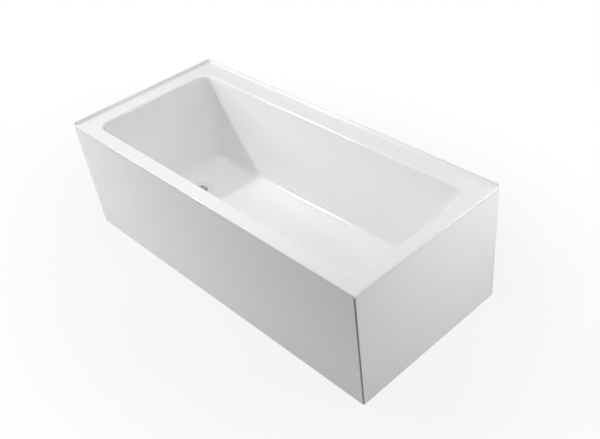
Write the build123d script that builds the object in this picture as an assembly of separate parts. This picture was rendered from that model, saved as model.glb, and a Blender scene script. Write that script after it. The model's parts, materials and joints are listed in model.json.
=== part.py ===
"""A rectangular corner bathtub: acrylic shell, apron panels, steel frame, levelling feet, pop-up waste.

Frame: +X runs along the bath from the waste end to the backrest end, +Y from the open front to the wall
and +Z up. The origin is on the floor under the middle of the bath's outline. All sizes are in millimetres.
"""

from build123d import *
import math
import os

# Overall size in plan
LENGTH = 1700.0
WIDTH = 750.0

# Acrylic shell: flat deck, wall upstand, edge lip
SHELL = 5.0
UPSTAND_HEIGHT = 12.0
UPSTAND_THICKNESS = 5.0
UPSTAND_COVE = 6.0
UPSTAND_ROUND = 2.0
LIP_DROP = 5.0
DECK_EDGE_ROUND = 3.0
RIM_FRONT = 63.0
RIM_BACK = 97.0
RIM_LEFT = 99.0
RIM_RIGHT = 58.0
RIM_ROLL = 7.0

# Basin, and the height under it for the trap and the frame
BASIN_DEPTH = 405.0
FLOOR_LOW = 120.0
FLOOR_FALL = 12.0
WALL_RUN = 50.0
BACKREST_RUN = 215.0
FOOT_RADIUS = 25.0
CORNER_RADIUS = 58.0

# Glass-fibre backing bonded round the basin
BOND_GAP = 0.3
BACKING_WALL = 4.0
BACKING_FLOOR = 7.0

# Base board under the basin
BOARD_THICKNESS = 18.0
BOARD_HOLE_RADIUS = 62.0

# Waste hole and the shallow recess round it
WASTE_FROM_OPENING = 216.0
WASTE_HOLE_RADIUS = 25.0
RECESS_RADIUS = 58.0
RECESS_DEPTH = 4.0
RECESS_ROUND = 3.0

# Apron panels
LIP_GAP = 1.0
FLOOR_GAP = 2.0
PANEL_SKIN = 4.0
PANEL_RAIL_THICKNESS = 18.0
PANEL_RAIL_HEIGHT = 60.0
STILE_WIDTH = 40.0
PANEL_ROUND = 2.5
FRONT_STILES = 6
END_STILES = 3
SEAM = 4.5
SEAM_RECESS = 1.5
CORNER_WALL = 2.0

# Steel frame of square tube
TUBE = 30.0
TUBE_WALL = 1.5
WALL_CLEARANCE = 20.0
BATTEN_THICKNESS = 18.0
BATTEN_NARROW = 26.0
BATTEN_WIDE = 40.0
BEARERS = 3
BEARER_FROM_HOLE = 35.0
PLATE_THICKNESS = 4.0
PLATE_LENGTH = 80.0
CAP_FLANGE = 2.0
CAP_PLUG = 12.0
CAP_CLEARANCE = 0.2

# Levelling feet
STUD_RADIUS = 6.0
STUD_HOLE_RADIUS = 7.0
THREAD_CLEARANCE = 0.08
NUT_FLATS = 19.0
NUT_HEIGHT = 10.0
LOCKNUT_HEIGHT = 7.0
PAD_RADIUS = 28.0
PAD_RIM = 5.0
PAD_HUB_RADIUS = 13.0
PAD_HUB_HEIGHT = 14.0
SOCKET_FLOOR = 5.0
COLLAR_FLATS = 17.0
COLLAR_HEIGHT = 6.0
FOOT_INSET = 50.0
STUD_SPARE = 2.0
SEAT_GAP = 0.3

# Screws and panel brackets
SCREW_RADIUS = 2.0
SCREW_HEAD_RADIUS = 4.0
SCREW_HEAD_HEIGHT = 2.4
SCREW_CLEARANCE = 0.1
SCREW_BITE = 12.0
PLATE_SCREW_INSET = 10.0
BEARER_SCREW_REACH = 120.0
BRACKET_WIDTH = 30.0
BRACKET_LEG = 24.0
BRACKET_THICKNESS = 2.5
BRACKET_SCREW = 15.0
FRONT_BRACKETS = 4
END_BRACKETS = 2
BRACKET_INSET = 150.0

# Pop-up waste
FLANGE_RADIUS = 35.0
FLANGE_THICKNESS = 2.5
FLANGE_ROUND = 0.9
SEAT_RADIUS = 31.0
SEAT_DEPTH = 1.5
TAIL_RADIUS = 23.9
TAIL_BORE = 19.0
TAIL_SPARE = 11.0
UPPER_SEAL = 1.5
LOWER_SEAL = 3.0
SEAL_RADIUS = 33.0
BACKNUT_RADIUS = 36.0
BACKNUT_HEIGHT = 12.0
NUT_LUGS = 8
LUG_WIDTH = 9.0
LUG_DEPTH = 3.0
SPIDER_ARM = 4.0
SPIDER_HEIGHT = 5.0
SPIDER_DROP = 16.0
SPIDER_HUB = 3.0
CARTRIDGE_RADIUS = 9.0
CARTRIDGE_FIT = 0.1
CARTRIDGE_ABOVE = 8.0
CARTRIDGE_BELOW = 12.0
CARTRIDGE_COLLAR = 2.0
CARTRIDGE_FLOOR = 3.0
PLUNGER_RADIUS = 5.0
PLUNGER_CLEARANCE = 0.08
PLUNGER_SPARE = 3.0
PLUG_RADIUS = 30.0
PLUG_THICKNESS = 3.0
PLUG_DOME = 3.0
PLUG_SEAL_THICKNESS = 2.0
PLUG_SEAL_INNER = 21.0
PLUG_SEAL_OUTER = 27.0

# Shallow-seal trap
TRAP_RADIUS = 19.0
TRAP_BORE = 17.0
TRAP_FLANGE = 3.0
TRAP_WASHER = 3.0
TRAP_NUT_WALL = 5.0
TRAP_NUT_LIP = 4.0
TRAP_NUT_ENGAGE = 8.0
TRAP_BEND = 24.0
TRAP_FLOOR_GAP = 6.0
TRAP_FIT = 0.1
OUTLET_RUN = 12.0
OUTLET_BORE = 21.6
OUTLET_WALL = 3.0
OUTLET_DEPTH = 26.0
OUTLET_WASHER = 4.0
OUTLET_NUT_LIP = 3.0

# Longer than the bath, how far a cut runs past a face, and how near counts as touching
FAR = 3000.0
CUT = 1.0
TOUCH = 0.01

# Planes of the outline and of the deck
X_LEFT = -LENGTH / 2
X_RIGHT = LENGTH / 2
Y_FRONT = -WIDTH / 2
Y_BACK = WIDTH / 2
DECK_HEIGHT = FLOOR_LOW + BASIN_DEPTH
DECK_UNDERSIDE = DECK_HEIGHT - SHELL

# Basin opening at the deck and the basin's floor
OPEN_LEFT = X_LEFT + RIM_LEFT
OPEN_RIGHT = X_RIGHT - RIM_RIGHT
OPEN_FRONT = Y_FRONT + RIM_FRONT
OPEN_BACK = Y_BACK - RIM_BACK
FLOOR_LEFT = OPEN_LEFT + WALL_RUN
FLOOR_RIGHT = OPEN_RIGHT - BACKREST_RUN
WASTE_X = OPEN_LEFT + WASTE_FROM_OPENING
WASTE_Y = (OPEN_FRONT + OPEN_BACK) / 2
FLOOR_AT_WASTE = FLOOR_LOW + FLOOR_FALL * (WASTE_X - FLOOR_LEFT) / (FLOOR_RIGHT - FLOOR_LEFT)
RECESS_Z = FLOOR_AT_WASTE - RECESS_DEPTH

# Heights of the layers below the basin
BACKING_BASE = FLOOR_LOW - SHELL - BOND_GAP - BACKING_FLOOR
BOARD_BASE = BACKING_BASE - BOARD_THICKNESS
RAIL_TOP = BOARD_BASE
RAIL_BASE = RAIL_TOP - TUBE
BATTEN_BASE = DECK_UNDERSIDE - BATTEN_THICKNESS
PLATE_BASE = BATTEN_BASE - PLATE_THICKNESS

# Base board in plan, inside the flat of the backing
BOARD_LEFT = FLOOR_LEFT + FOOT_RADIUS
BOARD_RIGHT = FLOOR_RIGHT - FOOT_RADIUS
BOARD_FRONT = OPEN_FRONT + WALL_RUN + FOOT_RADIUS
BOARD_BACK = OPEN_BACK - WALL_RUN - FOOT_RADIUS

# Panels and frame in plan
PANEL_DEPTH = PANEL_SKIN + PANEL_RAIL_THICKNESS
PANEL_TOP = DECK_UNDERSIDE - LIP_DROP - LIP_GAP
FRAME_FRONT = Y_FRONT + PANEL_DEPTH
FRAME_RIGHT = X_RIGHT - PANEL_DEPTH
FRAME_BACK = Y_BACK - WALL_CLEARANCE
FRAME_LEFT = X_LEFT + WALL_CLEARANCE
RAIL_UNDER_TOP = PANEL_TOP - PANEL_SKIN - PANEL_RAIL_HEIGHT
FOOT_XS = (FRAME_LEFT + FOOT_INSET, (FRAME_LEFT + FRAME_RIGHT) / 2, FRAME_RIGHT - FOOT_INSET)
FOOT_YS = (FRAME_FRONT + TUBE / 2, FRAME_BACK - TUBE / 2)
STUD_TOP = RAIL_TOP - TUBE_WALL - STUD_SPARE
STUD_BASE = SOCKET_FLOOR + SEAT_GAP
WELD_NUT_BASE = RAIL_BASE - NUT_HEIGHT

# Waste heights
FLANGE_BASE = RECESS_Z + UPPER_SEAL
FLANGE_TOP = FLANGE_BASE + FLANGE_THICKNESS
SEAT_Z = FLANGE_TOP - SEAT_DEPTH
LOWER_SEAL_BASE = BACKING_BASE - LOWER_SEAL
BACKNUT_BASE = LOWER_SEAL_BASE - BACKNUT_HEIGHT
TAIL_BASE = BACKNUT_BASE - TAIL_SPARE
SPIDER_TOP = FLANGE_BASE - SPIDER_DROP
PLUG_BASE = SEAT_Z + SEAT_GAP + PLUG_SEAL_THICKNESS
CARTRIDGE_BASE = SPIDER_TOP - SPIDER_HEIGHT - CARTRIDGE_BELOW

# Trap places
TRAP_TOP = TAIL_BASE - TRAP_WASHER
BEND_Z = TRAP_FLOOR_GAP + TRAP_RADIUS + TRAP_BEND
OUTLET_Z = BEND_Z + TRAP_BEND
OUTLET_START = WASTE_X - 3 * TRAP_BEND - OUTLET_RUN
OUTLET_END = OUTLET_START - OUTLET_DEPTH


def block(x0, x1, y0, y1, z0, z1):
    """A box between two corners."""
    return Pos((x0 + x1) / 2, (y0 + y1) / 2, (z0 + z1) / 2) * Box(x1 - x0, y1 - y0, z1 - z0)


def rod(x, y, z0, z1, radius):
    """An upright cylinder from z0 to z1."""
    return Pos(x, y, (z0 + z1) / 2) * Cylinder(radius, z1 - z0)


def ring(x, y, z0, z1, inner, outer):
    """An upright ring from z0 to z1."""
    return rod(x, y, z0, z1, outer) - rod(x, y, z0 - CUT, z1 + CUT, inner)


def hexagon(x, y, z0, z1, flats):
    """An upright hexagonal prism of a given width across flats."""
    outline = RegularPolygon(flats / 2, 6, major_radius=False)
    return Pos(x, y, z0) * extrude(outline, z1 - z0)


def spread(first, last, count):
    """Evenly spaced places from first to last."""
    step = (last - first) / (count - 1)
    return [first + step * i for i in range(count)]


def on_line(edge, x=None, y=None, z=None):
    """Whether every end of an edge lies at the given coordinates."""
    places = [(v.X, v.Y, v.Z) for v in edge.vertices()]
    wanted = [(i, w) for i, w in enumerate((x, y, z)) if w is not None]
    return all(abs(place[i] - w) < TOUCH for place in places for i, w in wanted)


def shifted(a, b, distance):
    """The line from a to b in a plane, moved to its right by a distance."""
    run = (b[0] - a[0], b[1] - a[1])
    length = math.hypot(*run)
    step = (run[1] / length * distance, -run[0] / length * distance)
    return (a[0] + step[0], a[1] + step[1]), (b[0] + step[0], b[1] + step[1])


def crossing(first, second):
    """Where two lines in a plane meet."""
    (a, b), (c, d) = first, second
    run = (b[0] - a[0], b[1] - a[1])
    other = (d[0] - c[0], d[1] - c[1])
    bottom = run[0] * other[1] - run[1] * other[0]
    share = ((c[0] - a[0]) * other[1] - (c[1] - a[1]) * other[0]) / bottom
    return a[0] + run[0] * share, a[1] + run[1] * share


def prism(plane, low_left, low_right, floor, top):
    """A long four-sided prism between two sloping sides, a floor line and a level top."""
    lid = ((-FAR, top), (FAR, top))
    corners = [
        crossing(low_left, lid),
        crossing(low_left, floor),
        crossing(low_right, floor),
        crossing(low_right, lid),
    ]
    return extrude(plane * make_face(Polyline(*corners, close=True)), FAR, both=True)


def basin_plug(grow, top, level_floor=None):
    """The solid that fills the basin up to a height, grown outwards by a wall.

    The waste end, front and back are drafted walls and the backrest end slopes. The upright corners are
    rounded first and the loop round the floor after them. A level floor, where one is given, replaces the
    falling one.
    """
    left = shifted((FLOOR_LEFT, FLOOR_LOW), (OPEN_LEFT, DECK_HEIGHT), -grow)
    right = shifted((FLOOR_RIGHT, FLOOR_LOW), (OPEN_RIGHT, DECK_HEIGHT), grow)
    front = shifted((OPEN_FRONT + WALL_RUN, FLOOR_LOW), (OPEN_FRONT, DECK_HEIGHT), -grow)
    back = shifted((OPEN_BACK - WALL_RUN, FLOOR_LOW), (OPEN_BACK, DECK_HEIGHT), grow)
    if level_floor is None:
        floor = shifted((FLOOR_LEFT, FLOOR_LOW), (FLOOR_RIGHT, FLOOR_LOW + FLOOR_FALL), grow)
    else:
        floor = ((FLOOR_LEFT, level_floor), (FLOOR_RIGHT, level_floor))
    below = ((-FAR, 0), (FAR, 0))
    plug = prism(Plane.XZ, left, right, floor, top) & prism(Plane.YZ, front, back, below, top)
    heights = [(e, [v.Z for v in e.vertices()]) for e in plug.edges()]
    upright = [e for e, ends in heights if min(ends) < top - CUT < max(ends)]
    plug = fillet(upright, CORNER_RADIUS + grow)
    half_way = (FLOOR_LOW + DECK_HEIGHT) / 2
    around_floor = [e for e in plug.edges() if max(v.Z for v in e.vertices()) < half_way]
    return fillet(around_floor, FOOT_RADIUS + grow)


def deck():
    """The flat deck with its edge lip, rounded on the two open sides."""
    lip_base = DECK_UNDERSIDE - LIP_DROP
    plate = block(X_LEFT, X_RIGHT, Y_FRONT, Y_BACK, lip_base, DECK_HEIGHT)
    within = (X_LEFT + SHELL, X_RIGHT - SHELL, Y_FRONT + SHELL, Y_BACK - SHELL)
    plate -= block(*within, 0, DECK_UNDERSIDE)
    rounded = [e for e in plate.edges() if on_line(e, y=Y_FRONT, z=DECK_HEIGHT)]
    rounded += [e for e in plate.edges() if on_line(e, x=X_RIGHT, z=DECK_HEIGHT)]
    rounded += [e for e in plate.edges() if on_line(e, x=X_RIGHT, y=Y_FRONT)]
    return fillet(rounded, DECK_EDGE_ROUND)


def upstand():
    """The strip that stands up from the deck along the two wall sides, with a cove at its foot."""
    height = SHELL + UPSTAND_HEIGHT
    profile = Pos(UPSTAND_THICKNESS / 2, height / 2) * Rectangle(UPSTAND_THICKNESS, height)
    profile = fillet(profile.vertices().sort_by(Axis.Y)[-2:], UPSTAND_ROUND)
    reach = UPSTAND_THICKNESS + UPSTAND_COVE
    rise = SHELL + UPSTAND_COVE
    cove = Pos(UPSTAND_THICKNESS + UPSTAND_COVE / 2, rise / 2) * Rectangle(UPSTAND_COVE, rise)
    profile += cove - Pos(reach, rise) * Circle(UPSTAND_COVE)
    start = Y_FRONT + DECK_EDGE_ROUND
    end = X_RIGHT - DECK_EDGE_ROUND
    corner = (X_LEFT, Y_BACK, DECK_UNDERSIDE)
    left = Plane(origin=corner, x_dir=(1, 0, 0), z_dir=(0, -1, 0))
    back = Plane(origin=(end, Y_BACK, DECK_UNDERSIDE), x_dir=(0, -1, 0), z_dir=(-1, 0, 0))
    return extrude(left * profile, Y_BACK - start) + extrude(back * profile, end - X_LEFT)


def bath_shell():
    """The acrylic shell: deck, upstand, lip, basin and the recessed waste hole."""
    body = deck() + upstand()
    body += basin_plug(SHELL, DECK_UNDERSIDE)
    body += rod(WASTE_X, WASTE_Y, RECESS_Z - SHELL, FLOOR_AT_WASTE, RECESS_RADIUS + SHELL)
    body -= basin_plug(0, DECK_HEIGHT + UPSTAND_HEIGHT)
    mouth = [
        e
        for e in body.edges()
        if on_line(e, z=DECK_HEIGHT)
        and OPEN_LEFT - CUT < e.center().X < OPEN_RIGHT + CUT
        and OPEN_FRONT - CUT < e.center().Y < OPEN_BACK + CUT
    ]
    body = fillet(mouth, RIM_ROLL)
    sunk = rod(WASTE_X, WASTE_Y, RECESS_Z, DECK_HEIGHT, RECESS_RADIUS)
    body -= fillet(sunk.faces().sort_by(Axis.Z)[0].edges(), RECESS_ROUND)
    return body - rod(WASTE_X, WASTE_Y, 0, DECK_HEIGHT, WASTE_HOLE_RADIUS)


def shell_backing():
    """The glass-fibre layer round the basin, with a level underside for the base board."""
    inner = SHELL + BOND_GAP
    layer = basin_plug(inner + BACKING_WALL, DECK_UNDERSIDE, BACKING_BASE)
    layer -= basin_plug(inner, DECK_HEIGHT)
    boss = RECESS_RADIUS + SHELL + BOND_GAP
    layer -= rod(WASTE_X, WASTE_Y, RECESS_Z - SHELL - BOND_GAP, DECK_HEIGHT, boss)
    return layer - rod(WASTE_X, WASTE_Y, 0, DECK_HEIGHT, WASTE_HOLE_RADIUS)


def base_board():
    """The timber board that carries the basin's floor, notched round the waste and its pipe."""
    board = block(BOARD_LEFT, BOARD_RIGHT, BOARD_FRONT, BOARD_BACK, BOARD_BASE, BACKING_BASE)
    board -= rod(WASTE_X, WASTE_Y, 0, DECK_HEIGHT, BOARD_HOLE_RADIUS)
    notch_front = WASTE_Y - BOARD_HOLE_RADIUS
    board -= block(X_LEFT, WASTE_X, notch_front, WASTE_Y + BOARD_HOLE_RADIUS, 0, DECK_HEIGHT)
    for x, y in bearer_screw_places():
        board -= screw_hole(x, y, BOARD_BASE, SCREW_BITE)
    return board


def batten(side):
    """One of the four timber battens under the rim."""
    back_face = FRAME_BACK - BATTEN_WIDE
    front_face = FRAME_FRONT + BATTEN_NARROW
    places = {
        "front": (FRAME_LEFT, FRAME_RIGHT, FRAME_FRONT, front_face),
        "back": (FRAME_LEFT, FRAME_RIGHT, back_face, FRAME_BACK),
        "left": (FRAME_LEFT, FRAME_LEFT + BATTEN_WIDE, front_face, back_face),
        "right": (FRAME_RIGHT - BATTEN_NARROW, FRAME_RIGHT, front_face, back_face),
    }
    timber = block(*places[side], BATTEN_BASE, DECK_UNDERSIDE)
    for x, y in plate_screw_places():
        timber -= screw_hole(x, y, BATTEN_BASE, SCREW_BITE)
    return with_bracket_holes(timber, on_battens=True)


def screw(x, y, z, bite, grip):
    """A pan-head screw pointing up: its head is under z - grip and its tip bites above z."""
    under = z - grip
    shank = rod(x, y, under, z + bite, SCREW_RADIUS)
    head = rod(x, y, under - SCREW_HEAD_HEIGHT, under, SCREW_HEAD_RADIUS)
    return shank + head


def screw_hole(x, y, z, bite):
    """The hole that a screw's tip needs above z, with a little room at its end."""
    return rod(x, y, z - CUT, z + bite + SEAT_GAP, SCREW_RADIUS + SCREW_CLEARANCE)


def tube(x0, x1, y0, y1, z0, z1):
    """A straight length of square tube: its longest side is the open one."""
    outside = block(x0, x1, y0, y1, z0, z1)
    w = TUBE_WALL
    sizes = (x1 - x0, y1 - y0, z1 - z0)
    trims = [0 if s == max(sizes) else w for s in sizes]
    bore = block(x0 + trims[0], x1 - trims[0], y0 + trims[1], y1 - trims[1], z0 + trims[2], z1 - trims[2])
    return outside - bore


def frame_rail(y0):
    """A long rail with its ends capped and a hole under it for each levelling stud."""
    rail = tube(FRAME_LEFT + CAP_FLANGE, FRAME_RIGHT - CAP_FLANGE, y0, y0 + TUBE, RAIL_BASE, RAIL_TOP)
    for x in FOOT_XS:
        rail -= rod(x, y0 + TUBE / 2, RAIL_BASE - CUT, RAIL_BASE + TUBE_WALL + CUT, STUD_HOLE_RADIUS)
    return with_bracket_holes(rail, on_battens=False)


def end_rail():
    """The rail that joins the long rails at the backrest end."""
    rail = tube(FRAME_RIGHT - TUBE, FRAME_RIGHT, FRAME_FRONT + TUBE, FRAME_BACK - TUBE, RAIL_BASE, RAIL_TOP)
    return with_bracket_holes(rail, on_battens=False)


def bearer_xs():
    """Middles of the cross bearers, from beside the waste to the board's far end."""
    first = WASTE_X + BOARD_HOLE_RADIUS + BEARER_FROM_HOLE
    return spread(first, BOARD_RIGHT - TUBE, BEARERS)


def bearer(x):
    """A cross bearer between the long rails, drilled for the board's screws."""
    piece = tube(x - TUBE / 2, x + TUBE / 2, FRAME_FRONT + TUBE, FRAME_BACK - TUBE, RAIL_BASE, RAIL_TOP)
    for sx, sy in bearer_screw_places():
        if abs(sx - x) < TUBE / 2:
            piece -= rod(sx, sy, RAIL_BASE - CUT, RAIL_TOP + CUT, SCREW_RADIUS + SCREW_CLEARANCE)
    return piece


def bearer_screw_places():
    """Places of the screws that hold the board to the bearers."""
    middle = (BOARD_FRONT + BOARD_BACK) / 2
    return [(x, middle + side * BEARER_SCREW_REACH) for x in bearer_xs() for side in (-1, 1)]


def board_screws():
    """The screws through the bearers into the base board."""
    return [screw(x, y, BOARD_BASE, SCREW_BITE, TUBE) for x, y in bearer_screw_places()]


def upright_places():
    """Middle of each upright, with the two edges of its top plate across the bath."""
    front = (FRAME_FRONT, FRAME_FRONT + BATTEN_NARROW)
    back = (FRAME_BACK - BATTEN_WIDE, FRAME_BACK)
    return [(x, y, plate) for y, plate in zip(FOOT_YS, (front, back)) for x in FOOT_XS]


def plate_screw_places():
    """Places of the two screws through each upright's top plate."""
    reach = PLATE_LENGTH / 2 - PLATE_SCREW_INSET
    return [
        (x + side * reach, (plate[0] + plate[1]) / 2)
        for x, y, plate in upright_places()
        for side in (-1, 1)
    ]


def upright(place):
    """A square-tube upright with the flat plate welded on its top."""
    x, y, plate = place
    half = TUBE / 2
    post = tube(x - half, x + half, y - half, y + half, RAIL_TOP, PLATE_BASE)
    post += block(x - PLATE_LENGTH / 2, x + PLATE_LENGTH / 2, *plate, PLATE_BASE, BATTEN_BASE)
    for sx, sy in plate_screw_places():
        post -= rod(sx, sy, PLATE_BASE - CUT, BATTEN_BASE + CUT, SCREW_RADIUS + SCREW_CLEARANCE)
    return post


def plate_screws():
    """The screws through the upright plates into the battens."""
    return [screw(x, y, BATTEN_BASE, SCREW_BITE, PLATE_THICKNESS) for x, y in plate_screw_places()]


def tube_caps():
    """Moulded caps in the four open ends of the long rails."""
    caps = []
    inside = TUBE / 2 - TUBE_WALL - CAP_CLEARANCE
    middle = (RAIL_BASE + RAIL_TOP) / 2
    for y in FOOT_YS:
        for end, inward in ((FRAME_LEFT, 1), (FRAME_RIGHT, -1)):
            face = end + inward * CAP_FLANGE
            tip = face + inward * CAP_PLUG
            cover = block(min(end, face), max(end, face), y - TUBE / 2, y + TUBE / 2, RAIL_BASE, RAIL_TOP)
            spigot = (min(face, tip), max(face, tip), y - inside, y + inside)
            caps.append(cover + block(*spigot, middle - inside, middle + inside))
    return caps


def foot_places():
    """Middle of each levelling foot, front row first."""
    return [(x, y) for y in FOOT_YS for x in FOOT_XS]


def nuts(base, height):
    """One hexagonal nut round each levelling stud."""
    bore = STUD_RADIUS + THREAD_CLEARANCE
    return [
        hexagon(x, y, base, base + height, NUT_FLATS) - rod(x, y, base - CUT, base + height + CUT, bore)
        for x, y in foot_places()
    ]


def foot_stud(x, y):
    """A levelling stud with the collar that a spanner turns."""
    collar_base = PAD_HUB_HEIGHT + SEAT_GAP
    stud = rod(x, y, STUD_BASE, STUD_TOP, STUD_RADIUS)
    return stud + hexagon(x, y, collar_base, collar_base + COLLAR_HEIGHT, COLLAR_FLATS)


def foot_pad(x, y):
    """A round foot with a hub that holds the stud's end."""
    pad = rod(x, y, 0, PAD_RIM, PAD_RADIUS) + rod(x, y, 0, PAD_HUB_HEIGHT, PAD_HUB_RADIUS)
    pad = chamfer(pad.edges().filter_by(GeomType.CIRCLE).sort_by(Axis.Z)[-1], 1)
    return pad - rod(x, y, SOCKET_FLOOR, PAD_HUB_HEIGHT + CUT, STUD_RADIUS + THREAD_CLEARANCE)


def front_panel():
    """The long apron skin, with returns along its top and down its wall end."""
    right = X_RIGHT - SEAM
    skin = block(X_LEFT, right, Y_FRONT, Y_FRONT + PANEL_SKIN, FLOOR_GAP, PANEL_TOP)
    skin += block(X_LEFT, FRAME_RIGHT, Y_FRONT, FRAME_FRONT, PANEL_TOP - PANEL_SKIN, PANEL_TOP)
    skin += block(X_LEFT, X_LEFT + PANEL_SKIN, Y_FRONT, FRAME_FRONT, RAIL_BASE, PANEL_TOP)
    rounded = [e for e in skin.edges() if on_line(e, y=Y_FRONT, x=X_LEFT)]
    rounded += [e for e in skin.edges() if on_line(e, y=Y_FRONT, x=right)]
    return fillet(rounded, PANEL_ROUND / 2)


def end_panel():
    """The short apron skin, with returns along its top and down its wall end."""
    front = Y_FRONT + SEAM
    inner = X_RIGHT - PANEL_SKIN
    skin = block(inner, X_RIGHT, front, Y_BACK, FLOOR_GAP, PANEL_TOP)
    skin += block(FRAME_RIGHT, X_RIGHT, FRAME_FRONT, Y_BACK, PANEL_TOP - PANEL_SKIN, PANEL_TOP)
    skin += block(FRAME_RIGHT, X_RIGHT, Y_BACK - PANEL_SKIN, Y_BACK, FLOOR_GAP, PANEL_TOP)
    rounded = [e for e in skin.edges() if on_line(e, x=X_RIGHT, y=Y_BACK)]
    skin = fillet(rounded, PANEL_ROUND)
    rounded = [e for e in skin.edges() if on_line(e, x=X_RIGHT, y=front)]
    return fillet(rounded, PANEL_ROUND / 2)


def front_panel_rails():
    """Timber rails bonded along the top and foot of the front panel."""
    rails = []
    for base, upper in ((RAIL_BASE, False), (RAIL_UNDER_TOP, True)):
        left = X_LEFT + PANEL_SKIN
        inner = Y_FRONT + PANEL_SKIN
        rail = block(left, FRAME_RIGHT, inner, FRAME_FRONT, base, base + PANEL_RAIL_HEIGHT)
        rails.append(with_bracket_holes(rail, on_battens=upper))
    return rails


def end_panel_rails():
    """Timber rails bonded along the top and foot of the end panel."""
    rails = []
    for base, upper in ((RAIL_BASE, False), (RAIL_UNDER_TOP, True)):
        back = Y_BACK - PANEL_SKIN
        inner = X_RIGHT - PANEL_SKIN
        rail = block(FRAME_RIGHT, inner, FRAME_FRONT, back, base, base + PANEL_RAIL_HEIGHT)
        rails.append(with_bracket_holes(rail, on_battens=upper))
    return rails


def front_panel_stiles():
    """Upright timber stiffeners between the front panel's rails."""
    half = STILE_WIDTH / 2
    inner = Y_FRONT + PANEL_SKIN
    low = RAIL_BASE + PANEL_RAIL_HEIGHT
    middles = spread(X_LEFT + PANEL_SKIN + half, FRAME_RIGHT - half, FRONT_STILES)
    return [block(x - half, x + half, inner, FRAME_FRONT, low, RAIL_UNDER_TOP) for x in middles]


def end_panel_stiles():
    """Upright timber stiffeners between the end panel's rails."""
    half = STILE_WIDTH / 2
    inner = X_RIGHT - PANEL_SKIN
    low = RAIL_BASE + PANEL_RAIL_HEIGHT
    middles = spread(FRAME_FRONT + half, Y_BACK - PANEL_SKIN - half, END_STILES)
    return [block(FRAME_RIGHT, inner, y - half, y + half, low, RAIL_UNDER_TOP) for y in middles]


def corner_post():
    """The square post behind the seam between the panels, with the strip that shows in the seam."""
    right = X_RIGHT - PANEL_SKIN
    front = Y_FRONT + PANEL_SKIN
    post = block(FRAME_RIGHT, right, front, FRAME_FRONT, FLOOR_GAP, PANEL_TOP)
    w = CORNER_WALL
    post -= block(FRAME_RIGHT + w, right - w, front + w, FRAME_FRONT - w, 0, DECK_HEIGHT)
    nose_left = X_RIGHT - SEAM
    nose_back = Y_FRONT + SEAM
    return post + block(
        nose_left, X_RIGHT - SEAM_RECESS, Y_FRONT + SEAM_RECESS, nose_back, FLOOR_GAP, PANEL_TOP
    )


def bracket_places():
    """Where each panel bracket sits: its side, its place along it, and whether it hangs from a batten."""
    front = spread(FRAME_LEFT + BRACKET_INSET, FRAME_RIGHT - BRACKET_INSET, FRONT_BRACKETS)
    end = spread(FRAME_FRONT + BRACKET_INSET, FRAME_BACK - BRACKET_INSET, END_BRACKETS)
    along = [("front", x) for x in front] + [("end", y) for y in end]
    return [(side, at, high) for side, at in along for high in (True, False)]


def to_place(place, solid):
    """Move a solid drawn for a bracket on the front rail to a bracket's own place.

    It is drawn with the panel's back at y = 0, the bath at +y and the rail's top at z = 0, and turned over
    for a batten, whose underside is then at z = 0.
    """
    side, along, on_batten = place
    height = BATTEN_BASE if on_batten else RAIL_TOP
    if on_batten:
        solid = mirror(solid, about=Plane.XY)
    if side == "front":
        return Pos(along, FRAME_FRONT, height) * solid
    return Pos(FRAME_RIGHT, along, height) * Rot(0, 0, 90) * solid


def bracket_rods(radius, start, end):
    """Two rods through a bracket's screw places, one down into the frame and one level into the panel."""
    middle = (start + end) / 2
    down = Pos(0, BRACKET_SCREW, middle) * Cylinder(radius, end - start)
    level = Pos(0, middle, BRACKET_SCREW) * Rot(90, 0, 0) * Cylinder(radius, end - start)
    return [down, level]


def with_bracket_holes(piece, on_battens):
    """A rail or batten drilled for the bracket screws that reach it."""
    for place in bracket_places():
        if place[2] == on_battens:
            for hole in bracket_rods(SCREW_RADIUS + SCREW_CLEARANCE, -SCREW_BITE - SEAT_GAP, 1):
                piece -= to_place(place, hole)
    return piece


def panel_bracket(place):
    """An angle bracket with one leg on the frame and one against the panel's rail."""
    half = BRACKET_WIDTH / 2
    piece = block(-half, half, 0, BRACKET_LEG, 0, BRACKET_THICKNESS)
    piece += block(-half, half, 0, BRACKET_THICKNESS, 0, BRACKET_LEG)
    for hole in bracket_rods(SCREW_RADIUS + SCREW_CLEARANCE, -CUT, BRACKET_THICKNESS + CUT):
        piece -= hole
    return to_place(place, piece)


def bracket_screws(place):
    """The two screws of one bracket."""
    top = BRACKET_THICKNESS + SCREW_HEAD_HEIGHT
    shanks = bracket_rods(SCREW_RADIUS, -SCREW_BITE, top)
    heads = bracket_rods(SCREW_HEAD_RADIUS, BRACKET_THICKNESS, top)
    return [to_place(place, shank + cap) for shank, cap in zip(shanks, heads)]


def lugs(z0, z1, radius):
    """Ribs round the outside of a hand-tightened nut on the waste's axis."""
    ribs = []
    for i in range(NUT_LUGS):
        half = LUG_WIDTH / 2
        rib = block(radius - LUG_DEPTH, radius + LUG_DEPTH, -half, half, z0, z1)
        ribs.append(Pos(WASTE_X, WASTE_Y, 0) * Rot(0, 0, i * 360 / NUT_LUGS) * rib)
    return ribs


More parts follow.
